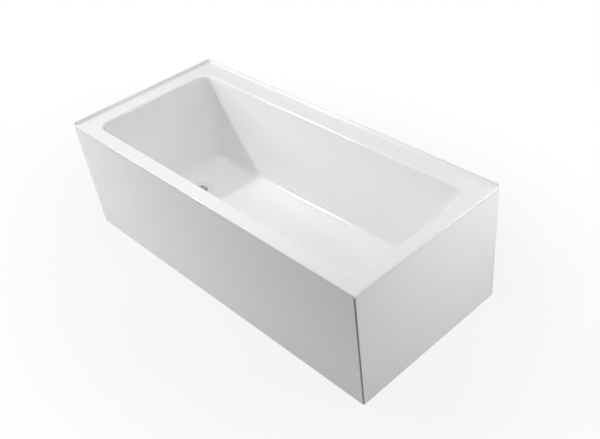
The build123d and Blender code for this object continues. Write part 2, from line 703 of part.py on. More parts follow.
def waste_flange():
    """The waste's flange and threaded tail, with a spider across the bore that holds the cartridge."""
    body = rod(WASTE_X, WASTE_Y, FLANGE_BASE, FLANGE_TOP, FLANGE_RADIUS)
    body = fillet(body.edges().filter_by(GeomType.CIRCLE).sort_by(Axis.Z)[-1], FLANGE_ROUND)
    body += rod(WASTE_X, WASTE_Y, TAIL_BASE, FLANGE_BASE, TAIL_RADIUS)
    body -= rod(WASTE_X, WASTE_Y, SEAT_Z, FLANGE_TOP + CUT, SEAT_RADIUS)
    body -= rod(WASTE_X, WASTE_Y, 0, FLANGE_TOP, TAIL_BORE)
    low = SPIDER_TOP - SPIDER_HEIGHT
    hub = CARTRIDGE_RADIUS + CARTRIDGE_FIT
    arm = SPIDER_ARM / 2
    reach = (TAIL_BORE + TAIL_RADIUS) / 2
    for across, along in ((reach, arm), (arm, reach)):
        body += block(WASTE_X - across, WASTE_X + across, WASTE_Y - along, WASTE_Y + along, low, SPIDER_TOP)
    body += rod(WASTE_X, WASTE_Y, low, SPIDER_TOP, hub + SPIDER_HUB)
    return body - rod(WASTE_X, WASTE_Y, low - CUT, SPIDER_TOP + CUT, hub)


def waste_backnut():
    """The nut that clamps the waste to the bath from below."""
    nut = rod(WASTE_X, WASTE_Y, BACKNUT_BASE, LOWER_SEAL_BASE, BACKNUT_RADIUS - LUG_DEPTH)
    for rib in lugs(BACKNUT_BASE, LOWER_SEAL_BASE, BACKNUT_RADIUS - LUG_DEPTH):
        nut += rib
    return nut - rod(WASTE_X, WASTE_Y, 0, DECK_HEIGHT, TAIL_RADIUS + TRAP_FIT)


def waste_cartridge():
    """The sleeve that guides the plug's plunger, resting by its collar on the spider."""
    sleeve = rod(WASTE_X, WASTE_Y, CARTRIDGE_BASE, SPIDER_TOP + CARTRIDGE_ABOVE, CARTRIDGE_RADIUS)
    collar = CARTRIDGE_RADIUS + CARTRIDGE_COLLAR
    sleeve += rod(WASTE_X, WASTE_Y, SPIDER_TOP, SPIDER_TOP + CARTRIDGE_COLLAR, collar)
    bore = PLUNGER_RADIUS + PLUNGER_CLEARANCE
    return sleeve - rod(WASTE_X, WASTE_Y, CARTRIDGE_BASE + CARTRIDGE_FLOOR, DECK_HEIGHT, bore)


def waste_plug():
    """The domed plug with its plunger."""
    rim = PLUG_BASE + PLUG_THICKNESS
    sphere = (PLUG_RADIUS**2 + PLUG_DOME**2) / (2 * PLUG_DOME)
    dome = Pos(WASTE_X, WASTE_Y, rim + PLUG_DOME - sphere) * Sphere(sphere)
    cap = rod(WASTE_X, WASTE_Y, PLUG_BASE, rim, PLUG_RADIUS)
    cap += dome & rod(WASTE_X, WASTE_Y, rim, rim + PLUG_DOME + CUT, PLUG_RADIUS)
    plunger_base = CARTRIDGE_BASE + CARTRIDGE_FLOOR + PLUNGER_SPARE
    return cap + rod(WASTE_X, WASTE_Y, plunger_base, PLUG_BASE, PLUNGER_RADIUS)


def waste_seal(z0, z1):
    """A flat seal round the waste's tail."""
    return ring(WASTE_X, WASTE_Y, z0, z1, WASTE_HOLE_RADIUS, SEAL_RADIUS)


def plug_seal():
    """The rubber ring under the plug."""
    base = PLUG_BASE - PLUG_SEAL_THICKNESS
    return ring(WASTE_X, WASTE_Y, base, PLUG_BASE, PLUG_SEAL_INNER, PLUG_SEAL_OUTER)


def trap_run(radius):
    """A round bar along the trap: down from the inlet, round the bend, up, and out to the outlet."""
    x = WASTE_X
    across = 2 * TRAP_BEND
    route = Line((x, TRAP_TOP), (x, BEND_Z))
    route += ThreePointArc((x, BEND_Z), (x - TRAP_BEND, BEND_Z - TRAP_BEND), (x - across, BEND_Z))
    turn = TRAP_BEND * math.sqrt(0.5)
    middle = (x - across - TRAP_BEND + turn, OUTLET_Z - TRAP_BEND + turn)
    route += ThreePointArc((x - across, BEND_Z), middle, (x - across - TRAP_BEND, OUTLET_Z))
    route += Line((x - across - TRAP_BEND, OUTLET_Z), (OUTLET_START, OUTLET_Z))
    path = Pos(0, WASTE_Y, 0) * (Plane.XZ * route)
    start = Plane(origin=(WASTE_X, WASTE_Y, TRAP_TOP), z_dir=(0, 0, -1))
    return sweep(start * Circle(radius), path=path)


def along_outlet(x0, x1, radius):
    """A cylinder on the outlet's axis from x0 up to x1."""
    return Pos((x0 + x1) / 2, WASTE_Y, OUTLET_Z) * Rot(0, 90, 0) * Cylinder(radius, x1 - x0)


def trap_body():
    """The trap: inlet flange, bent pipe that holds the water seal, and outlet socket."""
    body = trap_run(TRAP_RADIUS)
    body += rod(WASTE_X, WASTE_Y, TRAP_TOP - TRAP_FLANGE, TRAP_TOP, TAIL_RADIUS - TRAP_FIT)
    body += along_outlet(OUTLET_END, OUTLET_START + OUTLET_WALL, OUTLET_BORE + OUTLET_WALL)
    body -= trap_run(TRAP_BORE)
    return body - along_outlet(OUTLET_END - CUT, OUTLET_START, OUTLET_BORE)


def trap_inlet_nut():
    """The nut that draws the trap up to the waste's tail."""
    low = TRAP_TOP - TRAP_FLANGE
    top = TAIL_BASE + TRAP_NUT_ENGAGE
    outer = TAIL_RADIUS + TRAP_FIT + TRAP_NUT_WALL
    nut = rod(WASTE_X, WASTE_Y, low - TRAP_NUT_LIP, top, outer)
    for rib in lugs(low - TRAP_NUT_LIP, top, outer):
        nut += rib
    nut -= rod(WASTE_X, WASTE_Y, low, top + CUT, TAIL_RADIUS + TRAP_FIT)
    return nut - rod(WASTE_X, WASTE_Y, 0, top, TRAP_RADIUS + TRAP_FIT)


def trap_outlet_washer():
    """The sealing ring at the mouth of the trap's outlet."""
    mouth = along_outlet(OUTLET_END - OUTLET_WASHER, OUTLET_END, OUTLET_BORE + OUTLET_WALL)
    return mouth - along_outlet(OUTLET_END - OUTLET_WASHER - CUT, OUTLET_END + CUT, OUTLET_BORE + TRAP_FIT)


def trap_outlet_nut():
    """The nut that closes the outlet's sealing ring on the waste pipe."""
    bore = OUTLET_BORE + OUTLET_WALL + TRAP_FIT
    seat = OUTLET_END - OUTLET_WASHER
    outer = bore + TRAP_NUT_WALL
    face = seat - OUTLET_NUT_LIP
    nut = along_outlet(face, OUTLET_END + TRAP_NUT_ENGAGE, outer)
    nut -= along_outlet(seat, OUTLET_END + TRAP_NUT_ENGAGE + CUT, bore)
    return nut - along_outlet(face - CUT, seat + CUT, OUTLET_BORE + 2 * TRAP_FIT)


def trap_inlet_washer():
    """The flat washer between the waste's tail and the trap."""
    return ring(WASTE_X, WASTE_Y, TRAP_TOP, TAIL_BASE, TAIL_BORE, TAIL_RADIUS - TRAP_FIT)


def grouped(pieces):
    """Several identical pieces as one shape."""
    return Compound([solid for piece in pieces for solid in piece.solids()])


def nodes():
    """Every piece of the bath under its name."""
    pieces = {
        "bath_shell": bath_shell(),
        "shell_backing": shell_backing(),
        "base_board": base_board(),
        "front_panel": front_panel(),
        "end_panel": end_panel(),
        "front_panel_rails": grouped(front_panel_rails()),
        "end_panel_rails": grouped(end_panel_rails()),
        "front_panel_stiles": grouped(front_panel_stiles()),
        "end_panel_stiles": grouped(end_panel_stiles()),
        "corner_post": corner_post(),
        "frame_rail_front": frame_rail(FRAME_FRONT),
        "frame_rail_back": frame_rail(FRAME_BACK - TUBE),
        "frame_rail_end": end_rail(),
        "frame_tube_caps": grouped(tube_caps()),
        "panel_brackets": grouped([panel_bracket(place) for place in bracket_places()]),
        "panel_screws": grouped([s for place in bracket_places() for s in bracket_screws(place)]),
        "plate_screws": grouped(plate_screws()),
        "board_screws": grouped(board_screws()),
        "foot_weld_nuts": grouped(nuts(WELD_NUT_BASE, NUT_HEIGHT)),
        "foot_locknuts": grouped(nuts(WELD_NUT_BASE - LOCKNUT_HEIGHT, LOCKNUT_HEIGHT)),
        "waste_flange": waste_flange(),
        "waste_upper_seal": waste_seal(RECESS_Z, FLANGE_BASE),
        "waste_lower_seal": waste_seal(LOWER_SEAL_BASE, BACKING_BASE),
        "waste_backnut": waste_backnut(),
        "waste_cartridge": waste_cartridge(),
        "waste_plug": waste_plug(),
        "waste_plug_seal": plug_seal(),
        "trap_inlet_washer": trap_inlet_washer(),
        "trap_inlet_nut": trap_inlet_nut(),
        "trap_body": trap_body(),
        "trap_outlet_washer": trap_outlet_washer(),
        "trap_outlet_nut": trap_outlet_nut(),
    }
    for side in ("front", "back", "left", "right"):
        pieces[f"rim_batten_{side}"] = batten(side)
    for number, x in enumerate(bearer_xs(), 1):
        pieces[f"frame_bearer_{number}"] = bearer(x)
    for number, place in enumerate(upright_places(), 1):
        pieces[f"frame_upright_{number}"] = upright(place)
    for number, (x, y) in enumerate(foot_places(), 1):
        pieces[f"foot_stud_{number}"] = foot_stud(x, y)
        pieces[f"foot_pad_{number}"] = foot_pad(x, y)
    return pieces


os.makedirs("parts", exist_ok=True)
for name, piece in nodes().items():
    export_step(piece, f"parts/{name}.step")
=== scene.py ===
"""Looks of a rectangular corner bathtub: acrylic shell, apron panels, steel cradle, feet and waste.

Lengths are metres in the part's own frame: +X from the waste end to the backrest, +Y from the front to the
wall, +Z up, with the origin on the floor under the middle of the outline. Every new piece is a surface worked
out as whole arrays; a shape that is round in plan comes from a profile, and a long one from a section.
"""

import json
import logging
import math
from collections.abc import Callable, Sequence
from dataclasses import dataclass, field
from enum import Enum

import bmesh
import bpy
import numpy as np
from mathutils import Matrix, Vector


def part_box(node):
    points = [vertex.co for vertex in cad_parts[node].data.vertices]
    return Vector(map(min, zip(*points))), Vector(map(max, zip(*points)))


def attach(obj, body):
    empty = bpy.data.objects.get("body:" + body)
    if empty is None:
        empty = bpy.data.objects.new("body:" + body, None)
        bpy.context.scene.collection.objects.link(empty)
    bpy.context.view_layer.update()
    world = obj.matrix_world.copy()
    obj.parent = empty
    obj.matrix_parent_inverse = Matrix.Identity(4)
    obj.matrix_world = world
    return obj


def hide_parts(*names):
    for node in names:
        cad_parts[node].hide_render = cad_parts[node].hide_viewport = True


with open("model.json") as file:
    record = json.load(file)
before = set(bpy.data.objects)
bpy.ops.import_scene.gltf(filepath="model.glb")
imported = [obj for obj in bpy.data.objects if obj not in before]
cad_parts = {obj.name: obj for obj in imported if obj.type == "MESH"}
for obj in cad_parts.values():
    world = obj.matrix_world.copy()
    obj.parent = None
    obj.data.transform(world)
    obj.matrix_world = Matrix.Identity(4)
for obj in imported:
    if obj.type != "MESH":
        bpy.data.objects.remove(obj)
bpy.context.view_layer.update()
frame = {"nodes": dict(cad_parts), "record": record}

Flat = tuple[float, float]
Point = tuple[float, float, float]
Socket = bpy.types.NodeSocket
Tree = bpy.types.NodeTree

LOG = logging.getLogger("bath")
TURN = 2.0 * math.pi
FEET = range(1, 7)
WASTE = (-0.535, -0.017)
AXIS_GAP = 0.0001


class Axis(Enum):
    """The direction in which a straight piece runs."""

    X = 0
    Y = 1
    Z = 2


# Mesh building


class Surfaces:
    """Grids of points that are gathered and then made into one mesh object."""

    def __init__(self) -> None:
        """Start with no points and no faces."""
        self.points: list[np.ndarray] = []
        self.faces: list[list[int]] = []
        self.count = 0

    def add_grid(self, grid: np.ndarray, wrap_u: bool = True, wrap_v: bool = False) -> "Surfaces":
        """Add a grid of points with a quad between each four neighbours.

        Args:
            grid: points of shape (u, v, 3).
            wrap_u: join the last row of u to the first.
            wrap_v: join the last column of v to the first.

        Returns:
            This collection, so that calls can follow each other.
        """
        nu, nv = grid.shape[:2]
        i = np.arange(nu if wrap_u else nu - 1)[:, None]
        j = np.arange(nv if wrap_v else nv - 1)[None, :]
        i_next, j_next = (i + 1) % nu, (j + 1) % nv
        corners = (i * nv + j, i_next * nv + j, i_next * nv + j_next, i * nv + j_next)
        quads = np.stack(np.broadcast_arrays(*corners), axis=-1)
        self.faces += (quads.reshape(-1, 4) + self.count).tolist()
        self.points.append(grid.reshape(-1, 3))
        self.count += nu * nv
        return self

    def add_ring(self, grid: np.ndarray) -> "Surfaces":
        """Add a grid that wraps both ways, as a closed skin."""
        return self.add_grid(grid, wrap_v=True)

    def add_tube(self, grid: np.ndarray) -> "Surfaces":
        """Add a grid whose u runs along and v goes round, with a flat face on each end.

        Args:
            grid: points of shape (u, v, 3).

        Returns:
            This collection.
        """
        nu, nv = grid.shape[:2]
        ring = self.count + np.arange(nv)
        self.add_grid(grid, wrap_u=False, wrap_v=True)
        self.faces += [ring.tolist(), (ring + (nu - 1) * nv)[::-1].tolist()]
        return self

    def build(self, name: str, smooth_angle: float = 35.0) -> bpy.types.Object:
        """Make the mesh object, with its faces turned outwards and its edges sharp past an angle.

        Args:
            name: the object's name.
            smooth_angle: degrees between faces above which an edge stays sharp.

        Returns:
            The new object, linked to the scene.
        """
        mesh = bpy.data.meshes.new(name)
        mesh.from_pydata(np.concatenate(self.points).tolist(), [], self.faces)
        work = bmesh.new()
        work.from_mesh(mesh)
        bmesh.ops.remove_doubles(work, verts=work.verts, dist=1e-6)
        bmesh.ops.recalc_face_normals(work, faces=work.faces)
        work.to_mesh(mesh)
        work.free()
        mesh.shade_smooth()
        mesh.set_sharp_from_angle(angle=math.radians(smooth_angle))
        piece = bpy.data.objects.new(name, mesh)
        bpy.context.scene.collection.objects.link(piece)
        return piece


def unit(vectors: np.ndarray) -> np.ndarray:
    """The same ways with a length of one."""
    return vectors / np.linalg.norm(vectors, axis=-1, keepdims=True)


def bearings(steps: int) -> np.ndarray:
    """Even angles round a full turn."""
    return np.linspace(0.0, TURN, steps, endpoint=False)


def about(centre: Flat, radius: np.ndarray, angle: np.ndarray, height: np.ndarray) -> np.ndarray:
    """Points round an upright axis.

    Args:
        centre: the axis in plan.
        radius, angle, height: arrays that broadcast to one grid.

    Returns:
        The grid of points.
    """
    x = centre[0] + radius * np.cos(angle)
    y = centre[1] + radius * np.sin(angle)
    return np.stack(np.broadcast_arrays(x, y, height), axis=-1)


def lathe(profile: np.ndarray, centre: Flat, steps: int) -> np.ndarray:
    """Turn a profile of (radius, height) pairs about an upright axis.

    Formula: point(u, v) = centre + r(v) (cos u, sin u), at height z(v).

    Args:
        profile: array of shape (v, 2).
        centre: the axis in plan.
        steps: number of points in each ring.

    Returns:
        A grid of shape (steps, v, 3) that wraps in u.
    """
    return about(centre, profile[None, :, 0], bearings(steps)[:, None], profile[None, :, 1])


def arc(centre: Flat, radius: float, start: float, end: float, steps: int = 6) -> np.ndarray:
    """Points on an arc in a plane, from one angle in degrees to another."""
    angle = np.radians(np.linspace(start, end, steps))
    return np.stack([centre[0] + radius * np.cos(angle), centre[1] + radius * np.sin(angle)], axis=-1)


def chain(*parts: np.ndarray | Flat) -> np.ndarray:
    """Join points and arcs into one profile."""
    return np.concatenate([np.atleast_2d(np.asarray(part, float)) for part in parts])


def rounded_rectangle(low: Sequence, high: Sequence, inset: float, soft: float, steps: int) -> np.ndarray:
    """A rectangle in a plane, drawn in by an inset and with rounded corners.

    Formula: an arc of the soft radius about each corner's centre, which lies inset + soft in from both sides.

    Args:
        low, high: the lowest and highest corners before the inset.
        inset: how far each side moves in.
        soft: radius of the corners.
        steps: points in each corner.

    Returns:
        Points of shape (4 * steps, 2), from the highest corner round.
    """
    reach = inset + soft
    x, y = (low[0] + reach, high[0] - reach), (low[1] + reach, high[1] - reach)
    centres = ((x[1], y[1]), (x[0], y[1]), (x[0], y[0]), (x[1], y[0]))
    return np.concatenate([arc(at, soft, 90.0 * k, 90.0 * k + 90.0, steps) for k, at in enumerate(centres)])


def plan_centre(node: str) -> Flat:
    """The middle of a node's box in plan."""
    low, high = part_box(node)
    return ((low.x + high.x) / 2, (low.y + high.y) / 2)


# Finishes


class Nodes:
    """A short way to add and join nodes in a tree."""

    def __init__(self, tree: Tree) -> None:
        """Work in a tree."""
        self.tree = tree

    def feed(self, socket: Socket, value: object) -> None:
        """Join another node's output to a socket, or set it to a constant, with full cover for a colour.

        Args:
            socket: the input to feed.
            value: a socket to join, or a number, colour or vector.
        """
        if isinstance(value, Socket):
            self.tree.links.new(value, socket)
        else:
            socket.default_value = (*value, 1.0) if socket.type == "RGBA" else value

    def add(self, kind: str, **values: object) -> bpy.types.Node:
        """Add a node.

        Args:
            kind: the node's type.
            values: sockets and properties by name, with _ for a space; a name that is both is a socket.

        Returns:
            The new node.
        """
        node = self.tree.nodes.new(kind)
        for key, value in values.items():
            label = key.replace("_", " ")
            if hasattr(node, key) and label not in node.inputs:
                setattr(node, key, value)
            else:
                self.feed(node.inputs[label], value)
        return node

    def combine(self, node: bpy.types.Node, *values: object) -> Socket:
        """Feed a node's first sockets in order.

        Args:
            node: the node.
            values: what each socket gets.

        Returns:
            The node's first output.
        """
        for socket, value in zip(node.inputs, values):
            self.feed(socket, value)
        return node.outputs[0]

    def math(self, operation: str, a: object, b: object = 0.0, c: object = 0.0) -> Socket:
        """Work out a Math node's result."""
        return self.combine(self.add("ShaderNodeMath", operation=operation), a, b, c)

    def blend(self, share: object, first: object, second: object) -> Socket:
        """Mix two colours.

        Args:
            share: how much of the second shows, from 0 to 1.
            first, second: the colours.

        Returns:
            The mixed colour.
        """
        node = self.add("ShaderNodeMix", data_type="RGBA")
        for index, value in zip((0, 6, 7), (share, first, second)):
            self.feed(node.inputs[index], value)
        return node.outputs[2]

    def here(self) -> Socket:
        """Object coordinates, which are the part's own."""
        return self.add("ShaderNodeTexCoord").outputs["Object"]

    def mapped(self, **values: object) -> Socket:
        """Object coordinates after a Mapping node."""
        return self.add("ShaderNodeMapping", Vector=self.here(), **values).outputs["Vector"]

    def noise(self, scale: object, detail: float, vector: Socket | None = None) -> Socket:
        """Cloudy noise from 0 to 1."""
        place_in = self.here() if vector is None else vector
        return self.add("ShaderNodeTexNoise", Vector=place_in, Scale=scale, Detail=detail).outputs["Fac"]

    def flakes(self, scale: float) -> tuple[Socket, Socket]:
        """Cut space into flat-toned cells.

        Args:
            scale: cells in a metre.

        Returns:
            Each cell's tone, and the distance from its middle.
        """
        cells = self.add("ShaderNodeTexVoronoi", Vector=self.here(), Scale=scale, Randomness=1.0)
        spread = self.add("ShaderNodeSeparateColor", Color=cells.outputs["Color"])
        return spread.outputs["Red"], cells.outputs["Distance"]

    def stretch(self, value: Socket, low: float, high: float) -> Socket:
        """Spread the stretch from low to high over 0 to 1."""
        return self.add("ShaderNodeMapRange", Value=value, From_Min=low, From_Max=high).outputs["Result"]


def start_group(name: str, outputs: Sequence[str], **inputs: float) -> tuple[Nodes, object, object]:
    """Start a shader node group whose sockets are plain values.

    Args:
        name: the group's name.
        outputs: the name of each value that it puts out.
        inputs: each input's default value by name, with _ for a space.

    Returns:
        The group's nodes, its inputs as sockets to read and its outputs as sockets to feed.
    """
    tree = bpy.data.node_groups.new(name, "ShaderNodeTree")
    for key, value in inputs.items():
        label = key.replace("_", " ")
        socket = tree.interface.new_socket(label, in_out="INPUT", socket_type="NodeSocketFloat")
        socket.default_value = value
    for label in outputs:
        tree.interface.new_socket(label, in_out="OUTPUT", socket_type="NodeSocketFloat")
    n = Nodes(tree)
    return n, n.add("NodeGroupInput").outputs, n.add("NodeGroupOutput").inputs


class SharedEffects:
    """The node groups that more than one finish uses."""

    def __init__(self) -> None:
        """Build each group once."""
        self.ripple = self.make_ripple()
        self.dust = self.make_dust()
        self.wear = self.make_wear()
        self.fibre = self.make_fibre()

    @staticmethod
    def make_ripple() -> Tree:
        """Slow waviness of a drawn or rolled sheet, with a fine grain over it, as one height.

        Returns:
            The group.
        """
        sizes = {"Wave_size": 4.0, "Grain_size": 400.0, "Grain_share": 0.2}
        n, given, out = start_group("sheet ripple", ["Height"], **sizes)
        fine = n.math("MULTIPLY", n.noise(given["Grain size"], 2.0), given["Grain share"])
        n.feed(out["Height"], n.math("ADD", n.noise(given["Wave size"], 1.5), fine))
        return n.tree

    @staticmethod
    def make_dust() -> Tree:
        """A patchy mask of settled dust that is strongest on faces that look up.

        Returns:
            The group.
        """
        n, given, out = start_group("settled dust", ["Mask"], Amount=0.3, Patch_size=12.0)
        facing = n.add("ShaderNodeSeparateXYZ", Vector=n.add("ShaderNodeNewGeometry").outputs["Normal"])
        upward = n.math("MULTIPLY_ADD", facing.outputs["Z"], 0.5, 0.5)
        spots = n.stretch(n.noise(given["Patch size"], 6.0), 0.42, 0.75)
        n.feed(out["Mask"], n.math("MULTIPLY", n.math("MULTIPLY", spots, upward), given["Amount"]))
        return n.tree

    @staticmethod
    def make_wear() -> Tree:
        """A mask of rubbed edges: pointy geometry broken up by noise.

        Returns:
            The group.
        """
        n, given, out = start_group("edge wear", ["Mask"], Amount=0.5, Break_up=60.0)
        point = n.stretch(n.add("ShaderNodeNewGeometry").outputs["Pointiness"], 0.51, 0.62)
        rough = n.math("MULTIPLY", point, n.noise(given["Break up"], 4.0))
        n.feed(out["Mask"], n.math("MULTIPLY", rough, given["Amount"]))
        return n.tree

    @staticmethod
    def make_fibre() -> Tree:
        """Chopped strands lying every way: three stretched noises, each turned, whose ridges overlap.

        Returns:
            The group.
        """
        n, given, out = start_group("chopped strands", ["Height", "Tone"], Strand_size=60.0, Stretch=0.12)
        ridges = []
        for tilt, turn in ((0.4, 0.2), (1.5, 1.3), (2.3, 2.5)):
            along = n.add("ShaderNodeCombineXYZ", X=1.0, Y=given["Stretch"], Z=1.0).outputs["Vector"]
            product = n.add("ShaderNodeVectorMath", operation="MULTIPLY")
            drawn = n.combine(product, n.mapped(Rotation=(tilt, turn, tilt + turn)), along)
            noise = n.noise(given["Strand size"], 2.0, drawn)
            centred = n.math("ABSOLUTE", n.math("SUBTRACT", noise, 0.5))
            ridges.append(n.math("SUBTRACT", 1.0, n.math("MULTIPLY", centred, 6.0)))
        top = n.math("MAXIMUM", n.math("MAXIMUM", ridges[0], ridges[1]), ridges[2])
        n.feed(out["Height"], top)
        n.feed(out["Tone"], n.math("MULTIPLY", top, 0.5))
        return n.tree


class Finish(Nodes):
    """What every finish shares: a material's nodes with a Principled shader and a way to place groups."""

    def __init__(self, name: str) -> None:
        """Start the material.

        Args:
            name: the material's name.
        """
        self.material = bpy.data.materials.new(name)
        self.material.use_nodes = True
        super().__init__(self.material.node_tree)
        self.shader = self.tree.nodes["Principled BSDF"]

    def set(self, **values: object) -> "Finish":
        """Feed sockets of the shader.

        Args:
            values: what each socket gets, by its name with _ for a space.

        Returns:
            This finish.
        """
        for key, value in values.items():
            self.feed(self.shader.inputs[key.replace("_", " ")], value)
        return self

    def group(self, tree: Tree, **values: float) -> object:
        """Place a shared group with its own values and give its outputs."""
        return self.add("ShaderNodeGroup", node_tree=tree, **values).outputs

    def bump(self, height: Socket, distance: float) -> bpy.types.Material:
        """Lead a height through a Bump node into the shader's normal, and give the material."""
        node = self.add("ShaderNodeBump", Height=height, Distance=distance, Strength=1.0)
        return self.set(Normal=node.outputs["Normal"]).material

    def between(self, value: Socket, low: float, high: float) -> Socket:
        """Spread a value that runs from 0 to 1 between two others."""
        return self.math("MULTIPLY_ADD", value, high - low, low)


@dataclass(frozen=True)
class GlossSheet:
    """White acrylic or gloss sheet: clear and even, with faint draw marks and a trace of dust."""

    name: str
    tone: float
    roughness: float
    wave: float
    dust: float = 0.08
    clean: Point = (1.0, 0.996, 0.990)
    dull: Point = (0.93, 0.925, 0.91)

    def make(self, shared: SharedEffects) -> bpy.types.Material:
        """Build the material.

        Args:
            shared: the node groups that finishes share.

        Returns:
            The material.
        """
        n = Finish(self.name)
        clean, dull = (tuple(self.tone * part for part in parts) for parts in (self.clean, self.dull))
        mask = n.group(shared.dust, Amount=self.dust, Patch_size=9.0)["Mask"]
        ripple = n.group(shared.ripple, Wave_size=5.0, Grain_size=900.0, Grain_share=0.02)
        n.set(
            Base_Color=n.blend(mask, clean, dull),
            Roughness=n.between(mask, self.roughness, self.roughness + 0.25),
            IOR=1.49,
            Coat_Weight=0.35,
            Coat_Roughness=0.03,
        )
        return n.bump(ripple["Height"], self.wave)


@dataclass(frozen=True)
class Strands:
    """Chopped-strand resin, rough and a little yellow, with lighter strands in it."""

    name: str
    resin: Point = (0.70, 0.68, 0.59)
    strand: Point = (0.88, 0.87, 0.80)
    stain: Point = (0.76, 0.71, 0.57)

    def make(self, shared: SharedEffects) -> bpy.types.Material:
        """Build the material.

        Args:
            shared: the node groups that finishes share.

        Returns:
            The material.
        """
        n = Finish(self.name)
        fibre = n.group(shared.fibre, Strand_size=95.0, Stretch=0.10)
        lumps = n.group(shared.ripple, Wave_size=14.0, Grain_size=160.0, Grain_share=0.25)
        tone = n.blend(fibre["Tone"], self.resin, self.strand)
        stained = n.math("MULTIPLY", n.noise(5.0, 4.0), 0.35)
        n.set(
            Base_Color=n.blend(stained, tone, self.stain),
            Roughness=n.between(fibre["Tone"], 0.55, 0.32),
        )
        return n.bump(n.math("ADD", fibre["Height"], lumps["Height"]), 0.0007)


@dataclass(frozen=True)
class ChipBoard:
    """Pressed board of coarse chips."""

    name: str
    dark: Point = (0.50, 0.36, 0.20)
    pale: Point = (0.76, 0.62, 0.42)
    shade: Point = (0.42, 0.30, 0.17)

    def make(self, _: SharedEffects) -> bpy.types.Material:
        """Build the material.

        Args:
            _: the node groups that finishes share, none of which is needed here.

        Returns:
            The material.
        """
        n = Finish(self.name)
        chip, distance = n.flakes(170.0)
        tone = n.blend(chip, self.dark, self.pale)
        shade = n.math("MULTIPLY", n.noise(420.0, 3.0), 0.4)
        n.set(Base_Color=n.blend(shade, tone, self.shade), Roughness=0.82)
        return n.bump(distance, 0.0006)


@dataclass(frozen=True)
class Timber:
    """Planed softwood with its grain along one axis."""

    name: str
    along: Axis
    draw: float = 0.06
    early: Point = (0.80, 0.66, 0.44)
    late: Point = (0.62, 0.44, 0.24)
    pore: Point = (0.46, 0.31, 0.17)
    rubbed: Point = (0.86, 0.75, 0.56)

    def make(self, shared: SharedEffects) -> bpy.types.Material:
        """Build the material.

        Args:
            shared: the node groups that finishes share.

        Returns:
            The material.
        """
        n = Finish(self.name)
        drawn = n.mapped(Scale=tuple(self.draw if axis is self.along else 1.0 for axis in Axis))
        wave = n.add("ShaderNodeTexWave", Vector=drawn, Scale=38.0, Distortion=7.0, Detail=3.0)
        rings, pores = wave.outputs["Fac"], n.noise(900.0, 3.0, drawn)
        wear = n.group(shared.wear, Amount=0.5, Break_up=80.0)["Mask"]
        tone = n.blend(rings, self.early, self.late)
        tone = n.blend(n.math("MULTIPLY", pores, 0.3), tone, self.pore)
        n.set(Base_Color=n.blend(wear, tone, self.rubbed), Roughness=0.68)
        return n.bump(n.math("ADD", rings, n.math("MULTIPLY", pores, 0.6)), 0.0003)


@dataclass(frozen=True)
class Metal:
    """A bare or plated metal, with fine marks and duller patches."""

    name: str
    tone: Point
    dull: Point
    smooth: float
    rough: float
    patch: float
    film: Point = (0.50, 0.48, 0.45)

    def make(self, shared: SharedEffects) -> bpy.types.Material:
        """Build the material.

        Args:
            shared: the node groups that finishes share.

        Returns:
            The material.
        """
        n = Finish(self.name)
        spread, _ = n.flakes(self.patch)
        mask = n.group(shared.dust, Amount=0.25, Patch_size=30.0)["Mask"]
        tone = n.blend(spread, self.tone, self.dull)
        n.set(
            Base_Color=n.blend(mask, tone, self.film),
            Metallic=1.0,
            Roughness=n.between(spread, self.smooth, self.rough),
        )
        grain = n.group(shared.ripple, Wave_size=30.0, Grain_size=1500.0, Grain_share=0.3)
        return n.bump(grain["Height"], 0.00004)


@dataclass(frozen=True)
class Moulded:
    """Plastic or rubber from a mould, with a fine grain, a little dust and rubbed edges."""

    name: str
    tone: Point
    roughness: float
    grain: float

    def make(self, shared: SharedEffects) -> bpy.types.Material:
        """Build the material.

        Args:
            shared: the node groups that finishes share.

        Returns:
            The material.
        """
        n = Finish(self.name)
        pale = tuple(min(1.0, part * 0.8 + 0.14) for part in self.tone)
        dust = n.group(shared.dust, Amount=0.35, Patch_size=40.0)["Mask"]
        worn = n.group(shared.wear, Amount=0.5, Break_up=150.0)["Mask"]
        mask = n.math("MAXIMUM", dust, worn)
        ripple = n.group(shared.ripple, Wave_size=60.0, Grain_size=1800.0, Grain_share=0.6)
        n.set(
            Base_Color=n.blend(mask, self.tone, pale),
            Roughness=n.between(mask, self.roughness, min(1.0, self.roughness + 0.3)),
        )
        return n.bump(ripple["Height"], self.grain)


